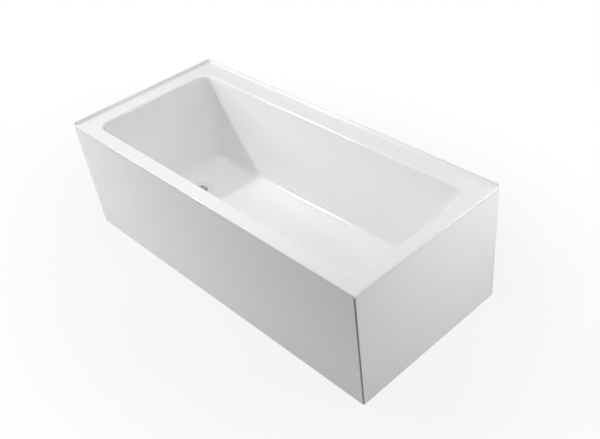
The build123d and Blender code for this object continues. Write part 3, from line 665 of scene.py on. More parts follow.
class Palette:
    """Every finish of the bath by its material slot, built once."""

    def __init__(self) -> None:
        """Build the shared groups and then the materials."""
        shared = SharedEffects()
        makers = {
            "white_acrylic": GlossSheet("gloss white acrylic", 0.91, 0.10, 0.00035),
            "white_panel": GlossSheet("gloss white panel", 0.875, 0.12, 0.00025),
            "glass_fibre": Strands("chopped strand backing"),
            "chipboard": ChipBoard("pressed base board"),
            "galvanised_steel": Metal(
                "galvanised tube", (0.62, 0.64, 0.66), (0.48, 0.50, 0.52), 0.32, 0.52, 90.0
            ),
            "zinc_steel": Metal("bright zinc", (0.74, 0.74, 0.71), (0.62, 0.62, 0.58), 0.20, 0.36, 300.0),
            "chrome": Metal("polished chrome", (0.55, 0.56, 0.57), (0.52, 0.53, 0.54), 0.05, 0.09, 25.0),
            "brass": Metal("turned brass", (0.80, 0.62, 0.32), (0.70, 0.52, 0.25), 0.20, 0.32, 200.0),
            "black_plastic": Moulded("black moulded plastic", (0.025, 0.025, 0.026), 0.45, 0.00006),
            "black_rubber": Moulded("black rubber", (0.018, 0.018, 0.018), 0.75, 0.00008),
            "grey_strip": Moulded("dark grey seam strip", (0.24, 0.24, 0.245), 0.45, 0.00004),
            "white_plastic": Moulded("white moulded plastic", (0.84, 0.84, 0.82), 0.30, 0.00004),
        }
        self.by_slot = {slot: maker.make(shared) for slot, maker in makers.items()}
        self.wood = {axis: Timber(f"planed softwood {axis.name}", axis).make(shared) for axis in Axis}

    def place(self, piece: bpy.types.Object, body: str, slot: str, *nodes: str) -> None:
        """Give a new piece its finish, body and slot.

        Args:
            piece: the new object.
            body: the body that it rides on.
            slot: its material slot.
            nodes: the nodes that it stands for.
        """
        piece.data.materials.append(self.by_slot[slot])
        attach(piece, body)
        if nodes:
            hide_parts(*nodes)
        LOG.info("%s rides on %s", piece.name, body)

    def grain(self, name: str) -> bpy.types.Material:
        """The softwood whose grain runs along a timber node; stiles stand up.

        Args:
            name: the node's name.

        Returns:
            The material.
        """
        if name.endswith("_stiles"):
            return self.wood[Axis.Z]
        low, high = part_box(name)
        spans = [high[i] - low[i] for i in range(3)]
        return self.wood[Axis(spans.index(max(spans)))]

    def dress_nodes(self) -> None:
        """Give every node of the frame its finish by its material slot."""
        slots = {part["node"]: part["material_slot"] for part in frame["record"]["subparts"]}
        for name, node in frame["nodes"].items():
            finish = self.grain(name) if slots[name] == "softwood" else self.by_slot[slots[name]]
            if not node.material_slots:
                node.data.materials.append(finish)
            for slot in node.material_slots:
                slot.material = finish


# Acrylic shell


def fillet_arc(
    vertex: np.ndarray, first: np.ndarray, second: np.ndarray, radius: float, steps: int
) -> np.ndarray:
    """Arcs that round the corner between two directions at each vertex.

    Formula: with half the angle between the directions as h, the arc touches them radius / tan h away, and
    its middle lies radius / sin h along their bisector.

    Args:
        vertex: corner points, of shape (u, 3).
        first: unit directions from the corner, where each arc starts.
        second: unit directions from the corner, where each arc ends.
        radius: the arc's radius.
        steps: points in each arc.

    Returns:
        The arcs, of shape (u, steps, 3).
    """
    half = np.arccos(np.clip((first * second).sum(axis=1), -1.0, 1.0)) / 2.0
    reach = (radius / np.tan(half))[:, None]
    middle = vertex + unit(first + second) * (radius / np.sin(half))[:, None]
    a, b = ((vertex + way * reach - middle)[:, None, :] / radius for way in (first, second))
    turn = (math.pi - 2.0 * half)[:, None, None]
    t = np.linspace(0.0, 1.0, steps)[None, :, None]
    return middle[:, None, :] + radius * (np.sin((1 - t) * turn) * a + np.sin(t * turn) * b) / np.sin(turn)


@dataclass(frozen=True)
class Basin:
    """The bath's basin: four flat leaning walls with rounded corners over a falling floor.

    Each ruling runs down a wall from the deck to the floor. In a corner the rulings are the straight lines of
    the cylinder that rolls between the two walls.
    """

    deck: float = 0.525
    low: float = 0.120
    fall: float = 0.012
    left: float = -0.751
    right: float = 0.792
    front: float = -0.312
    back: float = 0.278
    run: float = 0.050
    backrest: float = 0.215
    corner: float = 0.058
    foot: float = 0.025
    recess: float = 0.058
    recess_round: float = 0.0025
    recess_edge: float = 0.0012
    sink: float = 0.004
    hole: float = 0.025
    seat: float = 0.012
    side_steps: int = 24
    arc_steps: int = 15
    foot_steps: int = 13
    floor_steps: int = 12
    wall_steps: int = 26
    crowding: float = 1.3

    @property
    def slope(self) -> float:
        """How much the floor rises for each metre towards the backrest."""
        return self.fall / (self.right - self.backrest - self.left - self.run)

    def floor_height(self, x: np.ndarray, grow: float) -> np.ndarray:
        """Height of the floor's plane, moved down by a wall."""
        return self.low + self.slope * (x - self.left - self.run) - grow * math.hypot(1.0, self.slope)

    def walls(self, grow: float) -> list[tuple[np.ndarray, float]]:
        """The four leaning planes, from the front round to the left.

        Args:
            grow: how far outside the acrylic's face they lie.

        Returns:
            Each plane's outward normal and its distance from the origin.
        """
        drop = self.deck - self.low
        out = []
        for toward, run, edge in (
            ((0.0, -1.0), self.run, -self.front),
            ((1.0, 0.0), self.backrest, self.right),
            ((0.0, 1.0), self.run, self.back),
            ((-1.0, 0.0), self.run, -self.left),
        ):
            normal = np.array([toward[0] * drop, toward[1] * drop, -run]) / math.hypot(drop, run)
            through = np.array([toward[0] * edge, toward[1] * edge, self.deck])
            out.append((normal, float(normal @ through) + grow))
        return out

    def rulings(self, grow: float) -> tuple[np.ndarray, np.ndarray]:
        """Where each ruling starts on the deck's plane and the way it leads up, in order round the basin.

        Formula: in a corner the start is c(z) + R (w - a w_z / a_z), with c the rolling cylinder's middle at
        the deck's height, a its direction and w turning evenly from one wall's normal to the other's. Along a
        side both the start and the direction change evenly.

        Args:
            grow: how far outside the acrylic's face the rulings lie.

        Returns:
            Starts and directions, each of shape (u, 3), with directions scaled to rise by one.
        """
        walls = self.walls(grow)
        radius = self.corner + grow
        t = np.linspace(0.0, 1.0, self.arc_steps)[:, None]
        corners = []
        for first, second in zip(walls, walls[1:] + walls[:1]):
            along = np.cross(first[0], second[0])
            along = along / along[2]
            sides = np.stack([first[0], second[0]])
            reach = np.array([first[1], second[1]]) - radius - self.deck * sides[:, 2]
            middle = np.append(np.linalg.solve(sides[:, :2], reach), self.deck)
            angle = math.acos(float(first[0] @ second[0]))
            turned = (np.sin((1 - t) * angle) * first[0] + np.sin(t * angle) * second[0]) / math.sin(angle)
            corners.append((middle + radius * (turned - turned[:, 2:] * along), np.tile(along, (len(t), 1))))
        inner = np.linspace(0.0, 1.0, self.side_steps + 2)[1:-1, None]
        starts, ways = [], []
        for here, after in zip(corners, corners[1:] + corners[:1]):
            for lines, arcs, following in zip((starts, ways), here, after):
                lines += [arcs, (1 - inner) * arcs[-1] + inner * following[0]]
        return np.concatenate(starts), np.concatenate(ways)

    def inner_side(self, grow: float, top: float, sink: float, floor: float | None = None) -> np.ndarray:
        """The basin's surface from its waste hole up to a height.

        Formula: floor points spread from the circle round the waste to the foot, then an arc of the foot's
        radius between the floor and each ruling, then the ruling up to the top.

        Args:
            grow: how far outside the acrylic's face the surface lies.
            top: the height that it stops at.
            sink: depth of the recess round the waste, or zero for none.
            floor: the height of a level floor in place of the falling one.

        Returns:
            A grid of shape (u, v, 3) from the hole outwards and upwards.
        """
        start, way = self.rulings(grow)
        slope, low = 0.0, np.full(len(start), floor)
        if floor is None:
            slope = self.slope
            low = self.floor_height(start[:, 0] - way[:, 0] * self.deck, grow) / (1.0 - slope * way[:, 0])
        vertex = start + way * (low - self.deck)[:, None]
        bend = fillet_arc(vertex, self.inward(vertex, slope), unit(way), self.foot + grow, self.foot_steps)

        def plane(points: np.ndarray) -> np.ndarray:
            """Lift points in plan to the floor."""
            level = np.full(points.shape[:-1], floor)
            if floor is None:
                level = self.floor_height(points[..., 0], grow)
            return np.concatenate([points, level[..., None]], axis=-1)

        foot = bend[:, 0, :2]
        rings = self.recess_rings(grow, sink, unit(foot - np.array(WASTE)), plane)
        t = (np.linspace(0.0, 1.0, self.floor_steps)[1:-1] ** self.crowding)[None, :, None]
        spread = plane((1 - t) * rings[:, -1:, :2] + t * foot[:, None, :])
        height = np.linspace(0.0, 1.0, self.wall_steps)[None, 1:, None]
        end = start + way * (top - self.deck)
        wall = (1 - height) * bend[:, -1:, :] + height * end[:, None, :]
        return np.concatenate([rings, spread, bend, wall], axis=1)

    def inward(self, vertex: np.ndarray, slope: float) -> np.ndarray:
        """The way along a floor, square to its edge, at each point of the edge.

        Args:
            vertex: the edge's points in order, of shape (u, 3).
            slope: the floor's rise for each metre of x.

        Returns:
            Unit directions of shape (u, 3).
        """
        around = np.roll(vertex, -1, axis=0) - np.roll(vertex, 1, axis=0)
        flat = unit(np.stack([-around[:, 1], around[:, 0]], axis=1))
        return unit(np.column_stack([flat, slope * flat[:, 0]]))

    def recess_rings(self, grow: float, sink: float, spoke: np.ndarray, plane: Callable) -> np.ndarray:
        """Rings from the waste hole's edge to the floor outside the recess.

        Formula: point(u, v) = waste + r(v) spoke(u), level in the recess and on the floor's plane outside it.

        Args:
            grow: how far outside the acrylic's face the rings lie.
            sink: depth of the recess, or zero for none.
            spoke: unit directions from the waste in plan, of shape (u, 2).
            plane: lifts points in plan to the floor.

        Returns:
            A grid of shape (u, v, 3), with v along each spoke.
        """
        hub = np.array(WASTE)
        outer = self.recess + grow
        if sink <= 0.0:
            radii = np.linspace(self.hole, outer, 5)
            return plane(hub + radii[None, :, None] * spoke[:, None, :])
        bottom = float(self.floor_height(np.array(WASTE[0]), grow)) - sink
        soft, edge = self.recess_round, self.recess_edge
        lower = arc((outer - soft, bottom + soft), soft, -90.0, 0.0)
        flat = chain((self.hole, bottom), (self.hole + self.seat, bottom), lower)
        points = hub + flat[None, :, :1] * spoke[:, None, :]
        height = np.broadcast_to(flat[None, :, 1:], points.shape[:2] + (1,))
        upper = arc((outer + edge, -edge), edge, 180.0, 90.0)
        lip = plane(hub + upper[None, :, :1] * spoke[:, None, :])
        lip[..., 2] += upper[:, 1]
        return np.concatenate([np.concatenate([points, height], axis=-1), lip], axis=1)


@dataclass
class BathShell:
    """The acrylic shell as one closed skin: recess, floor, walls, rolled mouth, deck, lip and underside."""

    palette: Palette
    basin: Basin = field(default_factory=Basin)
    left: float = -0.8495
    right: float = 0.850
    front: float = -0.375
    back: float = 0.3745
    thickness: float = 0.005
    lip_drop: float = 0.005
    lip_round: float = 0.0008
    lip_cove: float = 0.002
    edge: float = 0.003
    roll: float = 0.007
    upstand_top: float = 0.537
    upstand_thick: float = 0.005
    upstand_proud: float = 0.0005
    upstand_sink: float = 0.002
    cove: float = 0.006
    crown: float = 0.002

    def outline(self) -> np.ndarray:
        """The deck's outer edge opposite each ruling: straight across on sides, to the corners on arcs.

        Formula: a side's point is the foot of its ruling on the outer edge. A corner's points run evenly from
        the foot of its first ruling to the outer corner and on to the foot of its last.

        Returns:
            Points of shape (u, 2).
        """
        start = self.basin.rulings(0.0)[0][:, :2]
        turn, side = self.basin.arc_steps, self.basin.side_steps
        half = turn // 2
        t = np.linspace(0.0, 1.0, half + 1)[:, None]
        x, y = (self.left, self.right), (self.front, self.back)
        corners = np.array([(x[1], y[0]), (x[1], y[1]), (x[0], y[1]), (x[0], y[0])])
        edge = np.empty_like(start)
        for k in range(4):
            low = k * (turn + side)
            last = low + turn
            before, here, after = corners[k - 1], corners[k], corners[(k + 1) % 4]
            entry = self.across(start[low], before, here)
            leave = self.across(start[last - 1], here, after)
            edge[low : low + half + 1] = (1 - t) * entry + t * here
            edge[low + half : last] = (1 - t) * here + t * leave
            edge[last : last + side] = self.across(start[last : last + side], here, after)
        return edge

    @staticmethod
    def across(points: np.ndarray, start: np.ndarray, end: np.ndarray) -> np.ndarray:
        """The foot of each point on the line from start to end."""
        way = unit(end - start)
        return start + ((points - start) @ way)[..., None] * way

    def inset(self, edge: np.ndarray, distance: float) -> np.ndarray:
        """The outline drawn in by a distance, with its four corners rounded a little.

        Formula: each point is pulled to a smaller rectangle and then pushed out again by the corner's radius.

        Args:
            edge: points of the outline, of shape (u, 2).
            distance: how far in they move.

        Returns:
            The moved points.
        """
        soft = max(self.edge, distance + 0.0006)
        low = np.array([self.left + soft, self.front + soft])
        high = np.array([self.right - soft, self.back - soft])
        core = np.clip(edge, low, high)
        away = edge - core
        length = np.linalg.norm(away, axis=1, keepdims=True)
        return core + away / np.maximum(length, 1e-9) * (soft - distance)

    def profile_out(self, edge: np.ndarray) -> np.ndarray:
        """Points over the deck's edge, down round the lip and back under the deck.

        Formula: one section of (inward, height) pairs is carried round the outline.

        Args:
            edge: points of the outline, of shape (u, 2).

        Returns:
            A grid of shape (u, v, 3).
        """
        deck, soft, cove = self.basin.deck, self.lip_round, self.lip_cove
        under = deck - self.thickness
        foot = under - self.lip_drop
        way = chain(
            arc((self.edge, deck - self.edge), self.edge, 90.0, 180.0, 7),
            arc((soft, foot + soft), soft, 180.0, 270.0, 3),
            arc((self.thickness - soft, foot + soft), soft, -90.0, 0.0, 3),
            arc((self.thickness + cove, under - cove), cove, 180.0, 90.0, 4),
        )
        rows = [np.column_stack([self.inset(edge, inward), np.full(len(edge), z)]) for inward, z in way]
        return np.stack(rows, axis=1)

    def skin(self) -> np.ndarray:
        """The whole closed skin, wrapping both round the bath and from its inside to its outside.

        Formula: the inside, the rolled mouth, the lip and the outside in order, with straight runs between
        them for the deck and its underside.

        Returns:
            A grid of shape (u, v, 3).
        """
        basin = self.basin
        inside = basin.inner_side(0.0, basin.deck, basin.sink)[:, :-1]
        start, way = basin.rulings(0.0)
        mouth = fillet_arc(start, -unit(way), -basin.inward(start, 0.0), self.roll, 9)
        rim = self.profile_out(self.outline())
        outside = basin.inner_side(self.thickness, basin.deck - self.thickness, basin.sink)[:, ::-1]
        t = np.linspace(0.0, 1.0, 7)[None, 1:-1, None]
        deck = (1 - t) * mouth[:, -1:, :] + t * rim[:, :1, :]
        below = (1 - t) * rim[:, -1:, :] + t * outside[:, :1, :]
        clear = inside[:, :, 2].max(axis=0) < mouth[:, 0, 2].min() - 0.001
        return np.concatenate([inside[:, clear], mouth, deck, rim, below, outside], axis=1)

    def upstand(self) -> np.ndarray:
        """The strip along the two walls with its cove, mitred where they meet.

        Formula: each point of the profile is carried along the left edge and the back edge, offset inwards,
        and both offsets meet on the corner's bisector.

        Returns:
            A grid of shape (u, v, 3), with u from the front end round to the right end.
        """
        deck, top, inner = self.basin.deck, self.upstand_top - self.crown, self.upstand_thick
        foot = deck - self.thickness - self.lip_drop
        sunk = deck - self.upstand_sink
        way = chain(
            (0.0, foot),
            arc((self.crown, top), self.crown, 180.0, 90.0, 5),
            arc((inner - self.crown, top), self.crown, 90.0, 0.0, 5),
            arc((inner + self.cove, deck + self.cove), self.cove, 180.0, 270.0, 8),
            (inner + self.cove, sunk),
            (inner, sunk),
            (inner, foot),
        )
        inward, height = way[:, 0], way[:, 1]
        x = self.left - self.upstand_proud + inward
        y = self.back + self.upstand_proud - inward
        along_y = np.linspace(self.front + self.edge, 0.0, 8)
        along_x = np.linspace(0.0, self.right - self.edge, 8)
        rows = [(x, np.full_like(x, at), height) for at in along_y]
        rows += [(x, y, height)] + [(np.full_like(y, at), y, height) for at in along_x]
        return np.stack([np.column_stack(row) for row in rows])

    def build(self) -> None:
        """Make both pieces of the shell."""
        shell = Surfaces().add_ring(self.skin()).build("shell", 40.0)
        self.palette.place(shell, "bath", "white_acrylic", "bath_shell")
        strip = Surfaces().add_tube(self.upstand()).build("upstand", 50.0)
        self.palette.place(strip, "bath", "white_acrylic")


# Glass-fibre backing


@dataclass
class Backing:
    """The sprayed backing: a closed skin whose outer face is lumpy and full of strands."""

    palette: Palette
    basin: Basin = field(default_factory=Basin)
    inner: float = 0.0055
    outer: float = 0.0091
    base: float = 0.1077
    top: float = 0.5195
    lump: float = 0.0009
    bare: float = 0.004
    blend: float = 0.02

    def roughness(self, points: np.ndarray) -> np.ndarray:
        """Lumps and ridges.

        Formula: the sum of four sine waves in several directions, and a ridge along the zeros of a fifth.

        Args:
            points: positions of shape (u, v, 3).

        Returns:
            Heights from -1 to 1, of shape (u, v).
        """
        waves = (
            (61.0, 23.0, 37.0, 0.3),
            (-47.0, 71.0, 29.0, 1.9),
            (113.0, -89.0, 97.0, 4.1),
            (31.0, 157.0, -139.0, 2.6),
        )
        total = sum(np.sin(points @ np.array(wave[:3]) + wave[3]) for wave in waves)
        ridge = 1.0 - 2.0 * np.abs(np.sin(points @ np.array([83.0, 67.0, -101.0]) + total))
        return (total + ridge) / 5.0

    def build(self) -> None:
        """Make the backing."""
        outside = self.basin.inner_side(self.outer, self.top, 0.0, self.base)
        normal = np.cross(np.gradient(outside, axis=0), np.gradient(outside, axis=1))
        normal /= np.maximum(np.linalg.norm(normal, axis=2, keepdims=True), 1e-12)
        rise = np.clip((outside[..., 2] - self.base - self.bare) / self.blend, 0.0, 1.0)
        outside = outside + normal * (self.roughness(outside) * rise * self.lump)[..., None]
        inside = self.basin.inner_side(self.inner, self.top, self.basin.sink)[:, ::-1]
        piece = Surfaces().add_ring(np.concatenate([outside, inside], axis=1)).build("backing", 60.0)
        self.palette.place(piece, "bath", "glass_fibre", "shell_backing")


# Steel frame


def tube_skin(
    low: Sequence, high: Sequence, along: Axis, wall: float = 0.0015, corner: float = 0.003
) -> np.ndarray:
    """A straight square tube with rounded corners: out along its outside and back along its bore.

    Formula: one rounded square at each end for the outside, and one drawn in by the wall for the bore.

    Args:
        low, high: the tube's lowest and highest corners.
        along: the way it runs.
        wall: its thickness.
        corner: its outer corners' radius.

    Returns:
        A grid of four rings that wraps both ways.
    """
    across = [axis.value for axis in Axis if axis is not along]
    ends = (low[along.value], high[along.value])
    plan_low, plan_high = [low[i] for i in across], [high[i] for i in across]
    rows = []
    for at, inset in ((ends[0], 0.0), (ends[1], 0.0), (ends[1], wall), (ends[0], wall)):
        section = rounded_rectangle(plan_low, plan_high, inset, max(corner - inset, 0.0008), 6)
        rows.append(np.insert(section, along.value, at, axis=1))
    return np.stack(rows)


def rounded_plate(low: Point, high: Point, corner: float, soft: float = 0.0005) -> np.ndarray:
    """A flat plate with rounded corners and softened faces.

    Formula: a rounded rectangle at four heights, drawn in by the soft edge at the lowest and the highest.

    Args:
        low, high: the plate's lowest and highest corners.
        corner: radius of its corners.
        soft: how far its edges are broken.

    Returns:
        Rings from bottom to top.
    """
    levels = ((soft, low[2]), (0.0, low[2] + soft), (0.0, high[2] - soft), (soft, high[2]))
    rings = [(rounded_rectangle(low, high, inset, corner - inset, 8), z) for inset, z in levels]
    return np.stack([np.insert(ring, 2, z, axis=1) for ring, z in rings])


def weld_bead(
    start: Point, end: Point, radius: float, drop: float = 0.003, step: float = 0.0006, swell: float = 0.14
) -> np.ndarray:
    """A run of weld: a rope whose radius swells at each of its overlapping drops.

    Formula: point(u, v) = start + (end - start) u + r(u) (cos v, sin v), with r(u) swelling once a drop.

    Args:
        start, end: the run's ends.
        radius: the rope's largest radius.
        drop: length of one drop.
        step: distance between the rope's rings.
        swell: the share of the radius by which it swells.

    Returns:
        A grid of shape (u, v, 3) whose u runs along.
    """
    first = np.array(start)
    run = np.array(end) - first
    length = float(np.linalg.norm(run))
    way = run / length
    side = unit(np.cross(way, np.array([0.31, 0.52, 0.79])))
    u = np.linspace(0.0, 1.0, max(8, int(length / step)))[:, None]
    v = bearings(10)[None, :]
    size = radius * (1.0 - swell + swell * np.abs(np.sin(u * length / drop * math.pi)))
    ends = np.sqrt(np.clip(1.0 - (2.0 * u - 1.0) ** 8, 0.05, 1.0))
    spoke = np.cos(v)[..., None] * side + np.sin(v)[..., None] * np.cross(way, side)
    return first + way * (u * length)[..., None] + spoke * (size * ends)[..., None]


@dataclass
class SteelFrame:
    """The welded cradle: long rails, end rail, cross bearers and uprights with their plates."""

    palette: Palette
    tube: float = 0.030
    plate: float = 0.004
    plate_corner: float = 0.004
    weld: float = 0.0016
    weld_in: float = 0.0006
    joint_in: float = 0.0004
    joint_end: float = 0.003

    def place_round(self, surfaces: Surfaces, node: str) -> None:
        """Stand rounded tubes in for a node of the frame."""
        self.palette.place(surfaces.build(node + "_round", 40.0), "bath", "galvanised_steel", node)

    def place_weld(self, beads: Surfaces, name: str) -> None:
        """Add a piece of weld beads."""
        self.palette.place(beads.build(name, 60.0), "bath", "zinc_steel")

    def upright(self, index: int) -> None:
        """Make an upright tube with a rounded top plate and a weld round each end.

        Args:
            index: the upright's number; 1 to 3 stand at the front.
        """
        node = f"frame_upright_{index}"
        low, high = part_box(node)
        middle = (low.x + high.x) / 2
        x0, x1 = middle - self.tube / 2, middle + self.tube / 2
        y0 = low.y if index <= 3 else high.y - self.tube
        y1 = y0 + self.tube
        top = high.z - self.plate
        surfaces = Surfaces().add_ring(tube_skin((x0, y0, low.z), (x1, y1, top), Axis.Z))
        surfaces.add_tube(rounded_plate((low.x, low.y, top), tuple(high), self.plate_corner))
        self.place_round(surfaces, node)
        beads = Surfaces()
        corners = ((x0, y0), (x1, y0), (x1, y1), (x0, y1))
        for z in (low.z + self.weld_in, top - self.weld_in):
            for a, b in zip(corners, corners[1:] + corners[:1]):
                beads.add_tube(weld_bead((*a, z), (*b, z), self.weld))
        self.place_weld(beads, f"weld_upright_{index}")

    def cross_welds(self, nodes: Sequence[str]) -> None:
        """Make the welds where the bearers and the end rail meet the long rails.

        Args:
            nodes: the bearers and the end rail.
        """
        beads = Surfaces()
        for node in nodes:
            low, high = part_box(node)
            x0, x1 = low.x + self.joint_end, high.x - self.joint_end
            z0, z1 = low.z + self.joint_end, high.z - self.joint_end
            for y in (low.y + self.weld_in, high.y - self.weld_in):
                for z in (low.z + self.joint_in, high.z - self.joint_in):
                    beads.add_tube(weld_bead((x0, y, z), (x1, y, z), self.weld))
                for x in (low.x, high.x):
                    beads.add_tube(weld_bead((x, y, z0), (x, y, z1), self.weld))
        self.place_weld(beads, "weld_cross")

    def build(self) -> None:
        """Make the whole frame."""
        crossing = ["frame_rail_end", "frame_bearer_1", "frame_bearer_2", "frame_bearer_3"]
        for node in ["frame_rail_front", "frame_rail_back"] + crossing:
            along = Axis.Y if node in crossing else Axis.X
            self.place_round(Surfaces().add_ring(tube_skin(*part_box(node), along)), node)
        for index in FEET:
            self.upright(index)
        self.cross_welds(crossing[1:] + crossing[:1])


# Levelling feet


def hex_ring(
    centre: Flat, low: float, high: float, flats: float, bore: float, soft: float = 0.0004, steps: int = 72
) -> np.ndarray:
    """A hexagonal ring whose corners are turned down to a chamfer at both faces.

    Formula: the outer radius is the smaller of the hexagon's, (flats / 2) / cos(angle from the nearest flat),
    and a cone's that narrows to its share of the flats at each face.

    Args:
        centre: its axis in plan.
        low, high: heights of its faces.
        flats: width across its flats.
        bore: radius of its hole.
        soft: how far the hole's edges are broken.
        steps: points in each ring.

    Returns:
        A grid that wraps both ways.
    """
    angle = bearings(steps)[:, None]
    off = (angle + TURN / 12) % (TURN / 6) - TURN / 12
    depth = (flats / 2) * (1 / math.cos(TURN / 12) - 1)
    share = np.array([0.0, 0.3, 0.6])
    heights = np.concatenate([low + depth * share, high - depth * share[::-1]])
    face_share, flare = 0.985, 1.75
    cone = flats / 2 * face_share + np.minimum(heights - low, high - heights) * flare
    outer = np.minimum((flats / 2) / np.cos(off), cone)
    inner = np.broadcast_to([bore + soft, bore, bore, bore + soft], (len(angle), 4))
    level = np.concatenate([heights, [high, high - soft, low + soft, low]])
    return about(centre, np.concatenate([outer, inner], axis=1), angle, level)


@dataclass
class LevellingFoot:
    """One screw foot: a threaded stud with its spanner collar, and a ribbed pad."""

    palette: Palette
    index: int
    radius: float = 0.006
    pitch: float = 0.00175
    thread: float = 0.0009
    tip: float = 0.0015
    tip_share: float = 0.22
    thread_steps: int = 8
    stud_steps: int = 28
    collar_bite: float = 0.0012
    flats: float = 0.017
    collar: Flat = (0.0143, 0.0203)
    ribs: int = 12
    rib: float = 0.0055
    rib_end: float = 0.003
    rib_half: float = 0.11
    rib_flank: float = 0.03
    rim: float = 0.005
    rim_round: float = 0.0015
    sole: float = 0.006
    hollow: float = 0.0008
    bevel: float = 0.001
    hub: float = 0.013
    hub_taper: float = 0.0004
    socket: float = 0.0061
    socket_mouth: float = 0.0006
    pad_steps: int = 144

    def stud(self) -> np.ndarray:
        """The threaded stud.

        Formula: r(angle, z) = radius - thread * |saw(z / pitch - angle / turn)|, which is a helical ridge,
        faded out at both ends into a chamfer.

        Returns:
            A grid of shape (u, v, 3) whose u runs up the stud.
        """
        node = f"foot_stud_{self.index}"
        low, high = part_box(node)
        z = np.linspace(low.z, high.z, int((high.z - low.z) / self.pitch * self.thread_steps))[:, None]
        angle = bearings(self.stud_steps)[None, :]
        phase = z / self.pitch - angle / TURN
        ridge = np.abs(phase - np.floor(phase) - 0.5) * 2.0
        ends = np.clip(np.minimum(z - low.z, high.z - z) / self.tip, 0.0, 1.0)
        radius = (self.radius - self.thread * ridge) * (1.0 - self.tip_share * (1.0 - ends))
        return about(plan_centre(node), radius, angle, z)

    def pad(self) -> np.ndarray:
        """The pad: a lathe form from its underside over the rim and up the hub, with ribs raised on its top.

        Formula: the height of the top gains rib * window(r) * peak(angle), with peak high on each rib's line.
        The peak's half width and its flank are shares of the angle from one rib to the next.

        Returns:
            A grid of shape (u, v, 3) that wraps in u.
        """
        node = f"foot_pad_{self.index}"
        low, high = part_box(node)
        outer, rim, hub, socket = (high.x - low.x) / 2, self.rim, self.hub, self.socket
        bevel, soft, mouth, neck = self.bevel, self.rim_round, self.socket_mouth, hub - self.hub_taper
        top_run = np.linspace(outer - 2 * bevel, hub + bevel / 2, 14)
        profile = chain(
            (2 * AXIS_GAP, self.hollow),
            (outer - self.sole - bevel, self.hollow),
            (outer - self.sole, 0.0),
            arc((outer - bevel, bevel), bevel, -90.0, 0.0, 4),
            arc((outer - soft, rim - soft), soft, 0.0, 90.0, 5),
            np.column_stack([top_run, np.full_like(top_run, rim)]),
            (hub, rim + bevel),
            (neck, high.z - bevel),
            (neck - bevel, high.z),
            (socket + mouth, high.z),
            (socket, high.z - mouth),
            (socket, rim),
            (2 * AXIS_GAP, rim),
        )
        grid = lathe(profile, plan_centre(node), self.pad_steps)
        beside = np.abs((bearings(self.pad_steps)[:, None] * self.ribs / TURN + 0.5) % 1.0 - 0.5)
        peak = np.clip((self.rib_half - beside) / self.rib_flank, 0.0, 1.0)
        r = profile[None, :, 0]
        on_top = (np.abs(profile[None, :, 1] - rim) < 1e-6) & (r > hub)
        slope = np.clip((outer - self.rib_end - r) / (outer - self.rib_end - hub), 0.0, 1.0)
        grid[..., 2] += np.where(on_top, peak * slope * self.rib, 0.0)
        return grid

    def build(self) -> None:
        """Make the stud with its collar, and the pad."""
        i, centre = self.index, plan_centre(f"foot_stud_{self.index}")
        surfaces = Surfaces().add_tube(self.stud())
        surfaces.add_ring(hex_ring(centre, *self.collar, self.flats, self.radius - self.collar_bite))
        self.palette.place(surfaces.build(f"stud_{i}_thread"), f"stud_{i}", "zinc_steel", f"foot_stud_{i}")
        pad = Surfaces().add_grid(self.pad()).build(f"pad_{i}_ribbed")
        self.palette.place(pad, f"foot_{i}", "black_plastic", f"foot_pad_{i}")


@dataclass
class FootNuts:
    """The welded nuts and locknuts on the six studs."""

    palette: Palette
    flats: float = 0.019
    bore: float = 0.0060

    def build(self) -> None:
        """Make one piece for each row of nuts."""
        for node in ("foot_weld_nuts", "foot_locknuts"):
            low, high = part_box(node)
            surfaces = Surfaces()
            for index in FEET:
                centre = plan_centre(f"foot_stud_{index}")
                surfaces.add_ring(hex_ring(centre, low.z, high.z, self.flats, self.bore))
            self.palette.place(surfaces.build(node + "_cut"), "bath", "zinc_steel", node)


# Waste


@dataclass
class PopUpWaste:
    """The plug that is pressed to open and shut, domed and polished."""

    palette: Palette
    plunger: float = 0.0050
    chamfer: float = 0.0008
    cap: float = 0.006
    dome: float = 0.0028
    rim: float = 0.0012
    under: float = 0.0010
    relief: float = 0.0004
    fullness: float = 0.9
    turn_steps: int = 128

    def build(self) -> None:
        """Make the plug with its plunger.

        Formula: the dome's height is dome sin t at a radius that shrinks as a power of cos t.
        """
        low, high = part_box("waste_plug")
        outer = (high.x - low.x) / 2
        base = high.z - self.cap
        t = np.linspace(0.0, math.pi / 2, 22)
        reach = (outer - self.rim) * np.cos(t) ** self.fullness
        reach[-1] = AXIS_GAP
        profile = chain(
            (AXIS_GAP, low.z),
            (self.plunger - self.chamfer, low.z),
            (self.plunger, low.z + self.chamfer),
            (self.plunger, base - self.relief),
            (outer - self.under, base),
            arc((outer - self.chamfer, base + self.chamfer), self.chamfer, -90.0, 0.0, 4),
            arc((outer - self.rim, high.z - self.dome - self.rim), self.rim, 0.0, 60.0, 4),
            np.column_stack([reach, high.z - self.dome + self.dome * np.sin(t)]),
        )
        piece = Surfaces().add_grid(lathe(profile, WASTE, self.turn_steps)).build("plug_dome", 40.0)
        self.palette.place(piece, "plug", "chrome", "waste_plug")


# Studio


